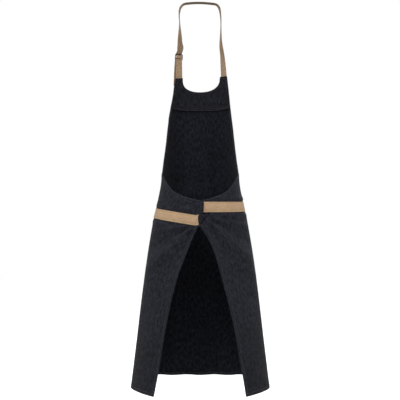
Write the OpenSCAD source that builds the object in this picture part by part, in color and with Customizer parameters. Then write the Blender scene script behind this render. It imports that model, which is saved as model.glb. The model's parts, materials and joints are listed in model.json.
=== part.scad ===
// Artist smock apron, hanging as it does when worn.
// The origin is the middle of the neck strap's underside, at the nape.
// +X is the wearer's right, +Y is the wearer's front and +Z is up. Millimetres.

/* [Cut of the apron] */
// height of the bib's top edge below the neck strap
bib_top_drop = 180; // [150:1:230]
// height of the underarm, where bib edge turns into side wrap, below the neck strap
underarm_drop = 473; // [430:1:520]
// height of the waist ties below the neck strap
waist_drop = 574; // [540:1:620]
// height of the hip below the neck strap
hip_drop = 603; // [590:1:660]
// height of the hem below the neck strap
hem_drop = 1074.6; // [950:0.1:1200]
// half of the bib's width at its top edge
bib_half = 80; // [65:1:110]
// half of the width at the underarm
underarm_half = 109; // [95:1:140]
// half of the width at the waist
waist_half = 125; // [105:1:160]
// half of the width at the hip
hip_half = 132; // [115:1:170]
// half of the width at the hem
hem_half = 196; // [160:1:240]
// how far the chest stands in front of the side line
chest_depth = 132; // [100:1:170]
// how far the waist stands in front of the side line
waist_depth = 112; // [85:1:150]
// how far the front hem stands in front of the side line
hem_depth = 161; // [120:1:200]
// how far the waist stands behind the side line
waist_back = 95; // [75:1:130]
// how far the back hem corners stand behind the side line
hem_back = 112; // [85:1:140]
// thickness of the cloth
cloth = 1.4; // [0.8:0.1:2.5]
// depth of the soft waves along the front hem
wave = 7; // [0:0.5:14]

/* [Neck scoop and facing] */
// half of the scoop's width
scoop_half = 55; // [40:1:70]
// depth of the scoop
scoop_depth = 43; // [25:1:60]
// drop of the facing's lower edge below the bib's top edge
facing_drop = 99; // [60:1:140]
// thickness of the facing
facing_cloth = 1.2; // [0.8:0.1:2]

/* [Back slit] */
// height of the top of the slit below the neck strap
slit_drop = 613.6; // [600:0.1:700]
// half of the slit's width at the hem
slit_half = 124.6; // [60:0.1:160]
// drop of the height where each loose hem corner starts to fold
corner_drop = 844; // [760:1:960]
// half-width where each corner's fold line meets the hem
corner_half = 160; // [140:1:180]
// gap between a loose corner and the rest of the skirt
corner_gap = 0.6; // [0.3:0.1:1.5]

/* [Straps] */
// width of the neck webbing
neck_width = 20; // [15:1:30]
// thickness of the neck webbing
neck_web = 1.4; // [1:0.1:2.5]
// width of the waist webbing
tie_width = 28; // [20:1:40]
// thickness of the waist webbing
tie_web = 1.6; // [1:0.1:2.5]
// length of strap that is sewn to each bib tab
sewn_length = 34; // [20:1:50]
// length of the loose end of the neck strap
tail_length = 74; // [30:1:120]
// length of the loose end of each waist tie
tie_tail_length = 215; // [100:1:320]

/* [Slider] */
// height of the slider's lower bar below the neck strap
slider_drop = 129; // [110:1:160]
// sideways position of the slider
slider_side = 64; // [50:1:80]
// thickness of the slider's bars
bar = 2.6; // [2:0.1:4]
// spacing of the slider's bars
bar_pitch = 8.6; // [7:0.1:12]
// lean of the slider towards the wearer
slider_lean = 8; // [0:1:20]

/* [Pocket] */
// height of the pocket's mouth below the neck strap
pocket_drop = 660; // [640:1:760]
// height of the pocket
pocket_height = 165; // [120:1:220]
// half of the pocket's width
pocket_half = 104; // [70:1:120]
// how far the pocket's mouth stands open
pocket_open = 14; // [6:1:24]

/* [Hidden] */
$fn = 48;
z_bib = -bib_top_drop;
z_arm = -underarm_drop;
z_waist = -waist_drop;
z_hip = -hip_drop;
z_hem = -hem_drop;
z_slit = -slit_drop;
z_corner = -corner_drop;
z_fac = z_bib - facing_drop;
z_poc = -pocket_drop;
z_poc_low = z_poc - pocket_height;
side_y = 40;
gap = 0.3;
// heights of the two tie ends at the centre back
z_tie_r = z_waist + 9;
z_tie_l = z_waist - 27;
z_knot = z_waist + 8;

// ---------- the shape of the wearer's body ----------

// half-width of the body's cross-section at height z
function half_w(z) = lookup(z, [
    [z_hem, hem_half],
    [z_hip, hip_half],
    [z_waist, waist_half],
    [z_arm, underarm_half],
    [z_bib, underarm_half + 8]]);

// half-width of its flat front
function flat_w(z) = lookup(z, [
    [z_hem, 0.64 * hem_half],
    [z_hip, 0.36 * hip_half],
    [z_waist, 0.32 * waist_half],
    [z_arm, 0.36 * underarm_half],
    [z_bib, 0.36 * underarm_half]]);

// y of its front
function front_y(z) = side_y + lookup(z, [
    [z_hem, hem_depth],
    [z_hip - 120, waist_depth + 15],
    [z_hip, waist_depth + 2],
    [z_waist, waist_depth],
    [z_waist + 40, waist_depth + 6],
    [z_arm - 10, chest_depth - 3],
    [z_arm + 90, chest_depth + 5],
    [z_arm + 170, chest_depth + 5],
    [z_bib, chest_depth - 8]]);

// how square its back is
function back_n(z) = lookup(z, [[z_hem, 1.5], [z_corner, 1.7], [z_slit, 2], [z_arm, 2]]);

function smooth(a, b, v) = let(t = min(1, max(0, (v - a) / (b - a)))) t * t * (3 - 2 * t);
function spow(v, e) = sign(v) * pow(abs(v), e);
function mix(a, b, t) = a + (b - a) * t;

// x of the slit's two edges, and of the fold line of the loose corners, as half-widths
function slit_t(z) = max(0, (z_slit - z) / (z_slit - z_hem));
function slit_right(z) = lookup(slit_t(z), [
    [0, -0.03 * slit_half],
    [0.07, 0.15 * slit_half],
    [0.17, 0.31 * slit_half],
    [0.36, 0.51 * slit_half],
    [0.56, 0.69 * slit_half],
    [0.8, 0.86 * slit_half],
    [1, slit_half]]);
function slit_left(z) = lookup(slit_t(z), [
    [0, 0.03 * slit_half],
    [0.055, 0.13 * slit_half],
    [0.15, 0.27 * slit_half],
    [0.33, 0.515 * slit_half],
    [0.63, 0.765 * slit_half],
    [0.85, 0.89 * slit_half],
    [1, slit_half]]);
function fold_x(z, left) = mix((left ? slit_left(z_corner) : slit_right(z_corner)) - 1, corner_half,
    (z_corner - z) / (z_corner - z_hem));

// y reach of the back, so that the slit's edge stands hem_back behind the side line
function back_b(z) = let(
    h = half_w(z),
    n = back_n(z),
    e = (slit_right(z) + slit_left(z)) / 2,
    r = mix(waist_back, hem_back, slit_t(z)))
    r / pow(1 - pow(min(0.9, max(0, e) / h), n), 1 / n);

// the soft waves along the front hem
function hem_wave(x, z) = let(w = flat_w(z))
    wave / 2 * (1 + cos(360 * x / (0.43 * hem_half))) * smooth(z_hip - 150, z_hem, z)
    * (1 - smooth(0.75 * w, w, abs(x)));

// a point of the cross-section at height z: s is 0 at the centre front, 2 at the side, 3 at the centre back
function sec(s, z) = let(a = abs(s), g = s < 0 ? -1 : 1, h = half_w(z), f = flat_w(z), n = back_n(z))
    a <= 1 ? [s * f, front_y(z) - hem_wave(s * f, z)] :
    a <= 2 ? [g * (f + (h - f) * sin(90 * (a - 1))), side_y + (front_y(z) - side_y) * cos(90 * (a - 1))] :
    [g * h * spow(cos(90 * (a - 2)), 2 / n), side_y - back_b(z) * pow(sin(90 * (a - 2)), 2 / n)];

// the same point moved outwards by d, on a cloth that leans from the wearer
function surf(s, z, d) = let(
    p = sec(s, z),
    q = sec(s + 0.01, z) - sec(s - 0.01, z),
    m = norm(q),
    b = overlap(s, z, p[0]))
    [p[0] - q[1] / m * (d + b), p[1] + q[0] / m * (d + b), z];

// the right wrap's short end rides over the left wrap
function overlap(s, z, x) = s < 2 ? 0 :
    2.4 * smooth(z_waist + 18, z_waist - 9, z) * smooth(z_slit - 45, z_slit - 8, z) * smooth(32, 14, x);

// s at which the section has half-width x
function s_back(x, z) = 2 + acos(min(1, max(-1, spow(x / half_w(z), back_n(z) / 2)))) / 90;
function s_front(x, z) = let(f = flat_w(z)) x <= f ? x / f :
    1 + asin(min(1, (x - f) / (half_w(z) - f))) / 90;

// half-width of the left and right edges of the cloth at height z
function bib_edge(z) = lookup(z, [[z_arm, underarm_half], [z_bib, bib_half]]);
function wrap_right(z) = lookup(z, [
    [z_slit, -0.03 * slit_half],
    [z_waist - 14, -6],
    [z_waist - 9.5, 9.4],
    [z_waist + 27, 10.2],
    [z_waist + 32, 28],
    [z_waist + 42, 56],
    [z_waist + 53, 75],
    [z_waist + 70, 90],
    [z_arm, underarm_half]]);
function wrap_left(z) = lookup(z, [
    [z_slit, 0.03 * slit_half],
    [z_waist - 9.9, -5.7],
    [z_waist - 7, -8.1],
    [z_waist + 24, -8.9],
    [z_waist + 24.5, -2],
    [z_waist + 32, 28],
    [z_waist + 42, 56],
    [z_waist + 53, 75],
    [z_waist + 70, 90],
    [z_arm, underarm_half]]);
function edge_right(z) = z > z_slit ? wrap_right(z) : z > z_corner ? slit_right(z) :
    max(slit_right(z), fold_x(z, false)) + corner_gap / 2;
function edge_left(z) = z > z_slit ? wrap_left(z) : z > z_corner ? slit_left(z) :
    max(slit_left(z), fold_x(z, true)) + corner_gap / 2;
function end_s(left, z) = z >= z_arm ? s_front(bib_edge(z), z) :
    s_back(left ? edge_left(z) : edge_right(z), z);

// length of each stretch of a row, and s at a share v of the half-row
function len_1(z) = flat_w(z);
function len_2(z) = 1.11 * norm([half_w(z) - flat_w(z), front_y(z) - side_y]);
function len_3(e, z) = let(p = sec(e, z)) 1.08 * norm([half_w(z) - abs(p[0]), side_y - p[1]])
    + (e > 3 ? 2 * abs(p[0]) : 0);
function row_s(v, e, z) = let(
    a = len_1(z) * min(1, e),
    b = len_2(z) * max(0, min(1, e - 1)),
    c = e > 2 ? len_3(e, z) : 0,
    l = v * (a + b + c))
    l <= a ? l / len_1(z) :
    l <= a + b ? 1 + (l - a) / len_2(z) :
    2 + (l - a - b) / c * (e - 2);
function at(u, z) = u < 0 ? -row_s(-u, end_s(true, z), z) : row_s(u, end_s(false, z), z);

// height of the bib's top edge at x
function top_z(x) = abs(x) >= scoop_half ? z_bib :
    z_bib - scoop_depth * pow(1 - pow(abs(x) / scoop_half, 2.2), 1 / 2.2);

// ---------- sheets and ribbons ----------

function flat1(a) = [for (r = a) for (p = r) p];

// a closed sheet between two grids of points
module sheet(outer, inner) {
    rows = len(outer);
    cols = len(outer[0]);
    n = rows * cols;
    faces = concat(
        [for (i = [0:rows - 2]) for (j = [0:cols - 2]) let(a = i * cols + j)
            each [[a, a + cols, a + 1], [a + 1, a + cols, a + cols + 1]]],
        [for (i = [0:rows - 2]) for (j = [0:cols - 2]) let(a = n + i * cols + j)
            each [[a, a + 1, a + cols], [a + 1, a + cols + 1, a + cols]]],
        [for (j = [0:cols - 2]) each [[j, j + 1, n + j], [j + 1, n + j + 1, n + j]]],
        [for (j = [0:cols - 2]) let(a = (rows - 1) * cols + j)
            each [[a, n + a, a + 1], [a + 1, n + a, n + a + 1]]],
        [for (i = [0:rows - 2]) let(a = i * cols) each [[a, n + a, a + cols], [a + cols, n + a, n + a + cols]]],
        [for (i = [0:rows - 2]) let(a = i * cols + cols - 1)
            each [[a, a + cols, n + a], [a + cols, n + a + cols, n + a]]]);
    polyhedron(points = concat(flat1(outer), flat1(inner)), faces = faces, convexity = 8);
}

function unit(v) = v / norm(v);
function tangent(p, i) = unit(p[min(len(p) - 1, i + 1)] - p[max(0, i - 1)]);
function across(p, w, i) = let(t = tangent(p, i)) unit(w[i] - (w[i] * t) * t);

// a flat ribbon along the points p, its width along the directions w
module ribbon(p, w, wide, thick) {
    up = [for (i = [0:len(p) - 1]) let(a = across(p, w, i), n = cross(tangent(p, i), a))
        [p[i] - a * wide / 2 + n * thick / 2, p[i] + a * wide / 2 + n * thick / 2]];
    dn = [for (i = [0:len(p) - 1]) let(a = across(p, w, i), n = cross(tangent(p, i), a))
        [p[i] - a * wide / 2 - n * thick / 2, p[i] + a * wide / 2 - n * thick / 2]];
    sheet(dn, up);
}

// a smooth path through the points k
function spline(k, n) = [for (i = [0:len(k) - 2]) for (j = [0:(i == len(k) - 2 ? n : n - 1)])
    let(a = k[max(0, i - 1)], b = k[i], c = k[i + 1], d = k[min(len(k) - 1, i + 2)], t = j / n)
    0.5 * (2 * b + (c - a) * t + (2 * a - 5 * b + 4 * c - d) * t * t + (3 * b - a - 3 * c + d) * t * t * t)];

// ---------- the apron's cloth ----------

top_rows = [for (i = [0:5]) i / 6];
z_blend = z_bib - 84;
body_rows = concat(
    [for (i = [0:5]) mix(z_blend, z_arm, i / 6)],
    [z_arm, z_waist + 86, z_waist + 70, z_waist + 61, z_waist + 53, z_waist + 47, z_waist + 42,
     z_waist + 36, z_waist + 32, z_waist + 28, z_waist + 24.5, z_waist + 24, z_waist + 8, z_waist - 7,
     z_waist - 9.5, z_waist - 12, z_waist - 14, z_waist - 26, z_slit],
    [for (t = [0.03, 0.07, 0.11, 0.17, 0.26, 0.36]) mix(z_slit, z_hem, t)],
    [for (i = [0:1:8]) mix(z_corner, z_hem, i / 8)]);
cols = 44;

module apron_panel() {
    u = [for (j = [0:cols]) -1 + 2 * j / cols];
    function grid(d) = concat(
        [for (k = top_rows) [for (v = u) let(z = mix(top_z(sec(at(v, z_bib), z_bib)[0]), z_blend, k))
            surf(at(v, z), z, d)]],
        [for (z = body_rows) [for (v = u) surf(at(v, z), z, d)]]);
    color([0.15, 0.155, 0.17]) sheet(grid(cloth / 2), grid(-cloth / 2));
}

// a loose corner of the skirt beside the slit
module hem_corner(left) {
    z_top = z_corner - 26;
    e = [for (i = [0:10]) mix(z_top, z_hem, i / 10)];
    function a(z) = s_back(fold_x(z, left) - corner_gap / 2, z);
    function b(z) = s_back(left ? slit_left(z) : slit_right(z), z);
    function grid(d) = [for (z = e) [for (j = [0:8]) let(s = mix(a(z), b(z), j / 8))
        left ? surf(-s, z, d) : surf(s, z, d)]];
    if (left) sheet(grid(-cloth / 2), grid(cloth / 2));
    else sheet(grid(cloth / 2), grid(-cloth / 2));
}

module left_hem_corner() {
    color([0.15, 0.155, 0.17]) hem_corner(true);
}

module right_hem_corner() {
    color([0.15, 0.155, 0.17]) hem_corner(false);
}

// the facing lies inside the bib, towards the wearer
module bib_facing() {
    u = [for (j = [0:30]) -0.985 + 1.97 * j / 30];
    function grid(d) = [for (k = [0:8]) [for (v = u)
        let(x = sec(at(v, z_bib), z_bib)[0], z = mix(top_z(x) - 1, z_fac - 3 * (1 - pow(x / bib_half, 2)), k / 8))
        surf(at(v, z), z, d)]];
    d = -cloth / 2 - 0.2;
    color([0.11, 0.115, 0.13]) sheet(grid(d), grid(d - facing_cloth));
}

// a double patch pocket, sewn down at its sides, its bottom and its middle
module patch_pocket() {
    n = 32;
    function open_by(x, z) = let(t = (z - z_poc_low) / pocket_height, q = abs(x) / pocket_half)
        pocket_open * pow(max(0, t), 0.7) * pow(max(0, sin(180 * q)), 0.35);
    function pt(j, z, d) = let(
        x = pocket_half * (-1 + 2 * j / n),
        s = s_front(abs(x), z),
        g = x < 0 ? -1 : 1)
        surf(g * s, z, cloth / 2 + gap + open_by(x, z) + d);
    function grid(d) = [for (k = [0:9]) [for (j = [0:n]) pt(j, mix(z_poc, z_poc_low, k / 9), d)]];
    color([0.15, 0.155, 0.17]) sheet(grid(cloth), grid(0));
}

// ---------- the neck strap ----------

// y of the bib's outer face at x and z
function bib_y(x, z) = surf(s_front(abs(x), z), z, cloth / 2)[1];
strap_off = gap + neck_web / 2;
x_tab = bib_half - 10.5;

// how far the bib's face has turned from the front at x and z, in degrees
function bib_turn(x, z) = atan2(bib_y(x - 3, z) - bib_y(x + 3, z), 6);

// a point that stands off the bib's face by d at x and z, with the face's turn: [x, y, z, turn]
function on_bib(x, z, d) = let(t = bib_turn(x, z)) [x + d * sin(t), bib_y(x, z) + d * cos(t), z, t];
y_bar = bib_y(slider_side, z_bib) + 6;
x_slider = slider_side + 2.6;
tab_turn = bib_turn(slider_side, z_bib);
z_bar = -slider_drop;

// the strap from the right tab, over the nape, to the slider: [x, y, z, twist]
neck_keys = [
    on_bib(x_tab, z_bib - sewn_length, strap_off),
    on_bib(x_tab, z_bib - 16, strap_off),
    on_bib(x_tab, z_bib, strap_off),
    [x_tab - 1.6, bib_y(x_tab, z_bib) - 0.2, z_bib + 32, 42],
    [x_tab - 4, 152, z_bib + 62, 56],
    [x_tab - 7.5, 140, z_bib + 85, 68],
    [x_tab - 9, 121, z_bib + 106, 82],
    [x_tab - 10, 82, z_bib + 139, 90],
    [x_tab - 11.5, 44, z_bib + 160, 90],
    [x_tab - 14.5, 20, z_bib + 173, 90],
    [x_tab - 22, 7, z_bib + 178.5, 90],
    [x_tab - 40, 1.5, -0.2, 90],
    [0, 0, 0.8, 90],
    [-x_tab + 40, 1.5, -0.2, 90],
    [-x_tab + 21, 7, z_bib + 178.5, 90],
    [-x_tab + 12.5, 20, z_bib + 173, 90],
    [-x_tab + 10, 44, z_bib + 160, 90],
    [-x_tab + 9.8, 82, z_bib + 139, 88],
    [-x_tab + 9.5, 118, z_bib + 108, 67],
    [-x_tab + 9.5, 138, z_bib + 90, 56],
    [-x_tab + 8.3, y_bar - 5.4, z_bar + 2 * bar_pitch + 15.5, 46],
    [-x_slider + 0.6, y_bar - 0.7, z_bar + 2 * bar_pitch + 8.6, tab_turn + 3],
    [-x_slider, y_bar + 0.2, z_bar + 2 * bar_pitch + 4.4, tab_turn]];

// direction of the strap's width for its twist: 0 is along X, 90 is across the neck
function nape_dir(q) = [(q[0] >= 0 ? 1 : -1) * cos(q[3]), -0.998 * sin(q[3]), 0.07 * sin(q[3])];

module neck_strap() {
    k = spline(neck_keys, 4);
    p = [for (q = k) [q[0], q[1], q[2]]];
    color([0.6, 0.5, 0.4]) ribbon(p, [for (q = k) nape_dir(q)], neck_width, neck_web);
}

// a strip of webbing in the YZ plane, drawn along the points p, neck_width wide about x
module strip_yz(p, x, wide, thick) {
    q = [for (v = p) [x, v[0], v[1]]];
    ribbon(q, [for (v = p) [1, 0, 0]], wide, thick);
}

// the strap's turn through the slider: over the top bar, round the middle bar and out below
module neck_strap_weave() {
    r = bar / 2 + 0.35 + neck_web / 2;
    zc = z_bar + bar_pitch;
    zt = z_bar + 2 * bar_pitch;
    k = [[y_bar + r + 0.1, zt + 1.9], [y_bar + r, zt - 0.5], [y_bar + 0.9, zt - 3.3],
        [y_bar - r * 0.8, zc + 2.3], [y_bar - r, zc], [y_bar - r * 0.8, zc - 2.3],
        [y_bar + 1.2, z_bar + 4.2], [y_bar + 4.4, z_bar + 1.6]];
    p = spline([for (v = k) [v[0], v[1], 0]], 3);
    color([0.6, 0.5, 0.4]) turned() leaning() strip_yz(p, -x_slider, neck_width, neck_web);
}

// the turn of the left tab, which the slider and its straps share, about the slider's middle
module turned() {
    translate([-x_slider, y_bar, 0]) rotate([0, 0, tab_turn]) translate([x_slider, -y_bar, 0]) children();
}

// the slider's lean, about its lower bar
module leaning() {
    translate([0, y_bar, z_bar]) rotate([slider_lean, 0, 0]) translate([0, -y_bar, -z_bar]) children();
}

// the strap's loose end, hanging in front of the bib
module neck_strap_tail() {
    y0 = y_bar + 5.4;
    z0 = z_bar - 1.6;
    k = [[y0, z0, 0], [y0 + 3, z0 - 0.3 * tail_length, 0], [y0 + 5.5, z0 - 0.65 * tail_length, 0],
        [y0 + 8.5, z0 - tail_length, 0]];
    color([0.6, 0.5, 0.4]) turned() strip_yz(spline(k, 4), -x_slider - 2, neck_width, neck_web);
}

// y of the bib's face in the slider's own turned layout
function face_y(z) = y_bar + (bib_y(slider_side, z) - y_bar) * cos(tab_turn) + strap_off;

// the short strap that holds the slider: sewn to the bib, looped round the lower bar, and back
module neck_anchor_strap() {
    r = bar / 2 + 0.35 + neck_web / 2;
    d = neck_web + 0.2;
    up = spline([[face_y(z_bib - 12) + d, z_bib - 12, 0], [face_y(z_bib) + d, z_bib + 2, 0],
        [y_bar + 0.9, z_bar - 18, 0], [y_bar + r, z_bar - 4.5, 0], [y_bar + r, z_bar, 0]], 4);
    over = [for (a = [20:20:160]) [y_bar + r * cos(a), z_bar + r * sin(a), 0]];
    down = spline([[y_bar - r, z_bar, 0], [y_bar - r, z_bar - 4.5, 0], [y_bar - r - 0.6, z_bar - 18, 0],
        [face_y(z_bib), z_bib + 2, 0], [face_y(z_bib - 12), z_bib - 12, 0],
        [face_y(z_bib - sewn_length), z_bib - sewn_length, 0]], 4);
    color([0.64, 0.54, 0.43]) turned() strip_yz(concat(up, over, down), -x_slider, neck_width, neck_web);
}

// a three-bar slider
module strap_slider() {
    w = neck_width + 2;
    color([0.16, 0.16, 0.17]) turned() leaning() {
        for (i = [0:2]) translate([-x_slider - w / 2 - bar / 2, y_bar, z_bar + i * bar_pitch])
            rotate([0, 90, 0])
            cylinder(d = bar, h = w + bar);
        for (g = [-1, 1]) translate([-x_slider + g * (w / 2 + bar * 0.6), y_bar, z_bar - bar / 2 - 0.4])
            cylinder(d = bar + 0.8, h = 2 * bar_pitch + bar + 0.8);
    }
}

// ---------- the waist ties and the bow ----------

// centre height of each tie at s, from the centre back to the front
function tie_z(s, left) = left ?
    mix(z_knot, s < 2 ? z_waist - 9 : mix(z_tie_l, z_waist - 9, sec(s, z_waist)[0] / half_w(z_waist)),
        smooth(0.3, 1.9, s)) :
    mix(z_knot, z_tie_r, smooth(0.6, 2, s));

module waist_tie(left) {
    n = 30;
    s0 = 0.3;
    s1 = left ? s_back(7.2, z_tie_l) : s_back(10, z_tie_r);
    function row(d) = [for (i = [0:n]) let(s = mix(s0, s1, i / n), z = tie_z(s, left))
        [for (h = [1, -1]) surf(left ? -s : s, z + h * tie_width / 2, d)]];
    d0 = cloth / 2 + gap;
    if (left) sheet(row(d0 + tie_web), row(d0));
    else sheet(row(d0), row(d0 + tie_web));
}

module waist_tie_left() {
    color([0.7, 0.58, 0.45]) waist_tie(true);
}

module waist_tie_right() {
    color([0.7, 0.58, 0.45]) waist_tie(false);
}

y_knot = front_y(z_knot) + cloth / 2 + gap + tie_web + 9.5;

// the wrapped turn at the middle of the bow
module tie_knot() {
    color([0.7, 0.58, 0.45]) translate([0, y_knot, z_knot])
        scale([1, 0.62, 1])
        rotate([0, 90, 0])
        rotate_extrude($fn = 36)
        polygon([[0, -14], [10, -14], [13, -12], [14.2, -8], [14.6, 0], [14.2, 8], [13, 12], [10, 14], [0, 14]]);
}

// one loop of the bow
module bow_loop(g) {
    half = [for (t = [0:0.1:1]) [t * 88, 12.5 * pow(sin(180 * pow(t, 0.8)), 0.7) * (1 - 0.15 * t) + 1.2 * (1 - t)]];
    ring = concat([for (p = half) [p[0], p[1] * 0.9]], [for (i = [9:-1:0]) [half[i][0], -half[i][1] * 0.55]]);
    inner = concat([for (i = [1:9]) [half[i][0] - 0.5, max(0.35, half[i][1] * 0.9 - tie_web)]],
        [for (i = [9:-1:1]) [half[i][0] - 0.5, -max(0.35, half[i][1] * 0.55 - tie_web)]]);
    translate([g * 12, y_knot + 2.5, z_knot]) rotate([0, g * 10, 0]) rotate([0, 0, -g * 3])
        mirror([g < 0 ? 1 : 0, 0, 0])
        translate([0, 0, -tie_width / 2])
        linear_extrude(tie_width)
        difference() {
            polygon(ring);
            polygon(inner);
        }
}

module bow_loop_left() {
    color([0.7, 0.58, 0.45]) bow_loop(-1);
}

module bow_loop_right() {
    color([0.7, 0.58, 0.45]) bow_loop(1);
}

// a loose tie end, hanging in front of the skirt and its pocket
module tie_tail(g) {
    y0 = y_knot + 2;
    z0 = z_knot - 19;
    x0 = g * 14.5;
    k = [[x0, y0, z0], [x0 + g * 3, y0 + 9, z0 - 0.25 * tie_tail_length],
        [x0 + g * 8, y0 + 17, z0 - 0.55 * tie_tail_length],
        [x0 + g * 11, y0 + 26, z0 - 0.8 * tie_tail_length],
        [x0 + g * 14, y0 + 32, z0 - tie_tail_length]];
    p = spline(k, 5);
    color([0.7, 0.58, 0.45]) ribbon(p, [for (q = p) [1, -0.12 * g, 0]], tie_width, tie_web);
}

module tie_tail_left() {
    tie_tail(-1);
}

module tie_tail_right() {
    tie_tail(1);
}

// ---------- stitching ----------

// a box of stitches with a cross in it, on the face at x, z
module box_x(w, h) {
    t = 0.9;
    for (g = [-1, 1]) translate([g * (w - t) / 2, 0, 0]) cube([t, 0.8, h], center = true);
    for (g = [-1, 1]) translate([0, 0, g * (h - t) / 2]) cube([w, 0.8, t], center = true);
    for (g = [-1, 1]) rotate([0, g * atan2(h, w), 0]) cube([norm([w, h]) - 2 * t, 0.8, t], center = true);
}

// puts something on the outer face of a strap that is sewn to the bib, on the right (1) or the left (-1)
module on_strap(x, z, g) {
    p = on_bib(x, z, strap_off + neck_web / 2 + 0.2);
    lean = atan2(bib_y(x, z - 5) - bib_y(x, z + 5), 10);
    translate([g * p[0], p[1], z]) rotate([0, 0, -g * p[3]]) rotate([lean, 0, 0]) children();
}

// boxed stitching through the strap ends on the bib's tabs
module box_stitches() {
    color([0.3, 0.29, 0.28]) {
        on_strap(x_tab, z_bib - sewn_length + 13, 1) box_x(neck_width - 5, 20);
        on_strap(slider_side, z_bib - sewn_length + 9, -1) box_x(neck_width - 5, 14);
    }
}

// dense short rows of stitches at the corners of the pocket's mouth
module bar_tacks() {
    z = z_poc - 5;
    color([0.3, 0.29, 0.28]) for (g = [-1, 0, 1]) {
        p = surf(g * s_front(pocket_half - 3, z), z, cloth * 1.5 + gap + 0.2);
        translate([p[0], p[1] + (g == 0 ? 0 : 0.3), z])
            rotate([0, 0, -g * 38])
            cube([g == 0 ? 8 : 6, 1, 2], center = true);
    }
}

apron_panel();
left_hem_corner();
right_hem_corner();
bib_facing();
patch_pocket();
neck_strap();
neck_strap_weave();
neck_strap_tail();
neck_anchor_strap();
strap_slider();
waist_tie_left();
waist_tie_right();
tie_knot();
bow_loop_left();
bow_loop_right();
tie_tail_left();
tie_tail_right();
box_stitches();
bar_tacks();
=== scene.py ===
import json
import math

import bmesh
import bpy
import numpy as np
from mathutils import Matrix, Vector


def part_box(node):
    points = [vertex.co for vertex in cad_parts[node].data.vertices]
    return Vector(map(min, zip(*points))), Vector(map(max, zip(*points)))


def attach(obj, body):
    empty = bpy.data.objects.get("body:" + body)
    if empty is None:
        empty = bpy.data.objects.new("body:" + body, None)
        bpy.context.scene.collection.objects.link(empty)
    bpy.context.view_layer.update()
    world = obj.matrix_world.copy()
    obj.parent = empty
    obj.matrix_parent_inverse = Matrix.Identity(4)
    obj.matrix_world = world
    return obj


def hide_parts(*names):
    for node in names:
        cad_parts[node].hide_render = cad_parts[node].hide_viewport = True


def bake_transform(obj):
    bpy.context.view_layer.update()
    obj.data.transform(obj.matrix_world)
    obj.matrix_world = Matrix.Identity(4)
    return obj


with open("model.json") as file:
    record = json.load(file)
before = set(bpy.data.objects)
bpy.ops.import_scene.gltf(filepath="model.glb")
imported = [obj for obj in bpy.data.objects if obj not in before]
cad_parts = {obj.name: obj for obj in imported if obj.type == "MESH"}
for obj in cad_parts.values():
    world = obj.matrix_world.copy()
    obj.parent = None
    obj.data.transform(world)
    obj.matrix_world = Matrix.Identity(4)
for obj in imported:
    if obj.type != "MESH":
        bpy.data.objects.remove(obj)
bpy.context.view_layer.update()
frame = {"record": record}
MM = 0.001

# ---- sizes, in millimetres
# Heights are z in the part's frame: the neck strap's underside is 0. They repeat part.scad's values.
panel_lo, panel_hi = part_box("apron_panel")
Z_BIB = panel_hi[2] / MM
Z_HEM = panel_lo[2] / MM
HEM_HALF = (panel_hi[0] - panel_lo[0]) / 2 / MM - 0.7
Z_ARM, Z_WAIST, Z_HIP, Z_SLIT, Z_CORNER = -473.0, -574.0, -603.0, -613.6, -844.0
BIB_HALF, ARM_HALF, WAIST_HALF, HIP_HALF = 80.0, 109.0, 125.0, 132.0
SIDE_Y = 40.0
CHEST, WAIST_FRONT, HEM_FRONT = 132.0, 112.0, 161.0
WAIST_BACK, HEM_BACK, SLIT_HALF = 95.0, 112.0, 124.6
SCOOP_HALF, SCOOP_DEPTH, FACING_DROP, TAB_SHIFT = 55.0, 44.3, 98.0, 6.5
CLOTH = 1.0
TIE_W, TIE_T, NECK_W, NECK_T = 28.0, 1.6, 20.0, 1.4
Z_KNOT, Z_TIE_R, Z_TIE_L = Z_WAIST + 8, Z_WAIST + 9, Z_WAIST - 27
Z_POC, POC_H, POC_HALF, POC_OPEN = -660.0, 165.0, 104.0, 14.0
SIDES = ((-1, "left"), (1, "right"))
RNG = np.random.default_rng(7)


def smooth(a, b, v):
    t = np.clip((np.asarray(v, float) - a) / (b - a), 0, 1)
    return t * t * (3 - 2 * t)


def curve(*stations):
    """A smooth curve without overshoot through (z, value) stations."""
    st = sorted(stations)
    x = np.array([s[0] for s in st], float)
    y = np.array([s[1] for s in st], float)
    h, d = np.diff(x), np.diff(y) / np.diff(x)
    m = np.zeros(len(x))
    m[0], m[-1] = d[0], d[-1]
    for i in range(1, len(x) - 1):
        if d[i - 1] * d[i] > 0:
            a, b = 2 * h[i] + h[i - 1], h[i] + 2 * h[i - 1]
            m[i] = (a + b) / (a / d[i - 1] + b / d[i])

    def f(v):
        v = np.clip(np.asarray(v, float), x[0], x[-1])
        i = np.clip(np.searchsorted(x, v) - 1, 0, len(x) - 2)
        t = (v - x[i]) / h[i]
        return (
            (2 * t**3 - 3 * t**2 + 1) * y[i]
            + (t**3 - 2 * t**2 + t) * h[i] * m[i]
            + (-2 * t**3 + 3 * t**2) * y[i + 1]
            + (t**3 - t**2) * h[i] * m[i + 1]
        )

    return f


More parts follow.
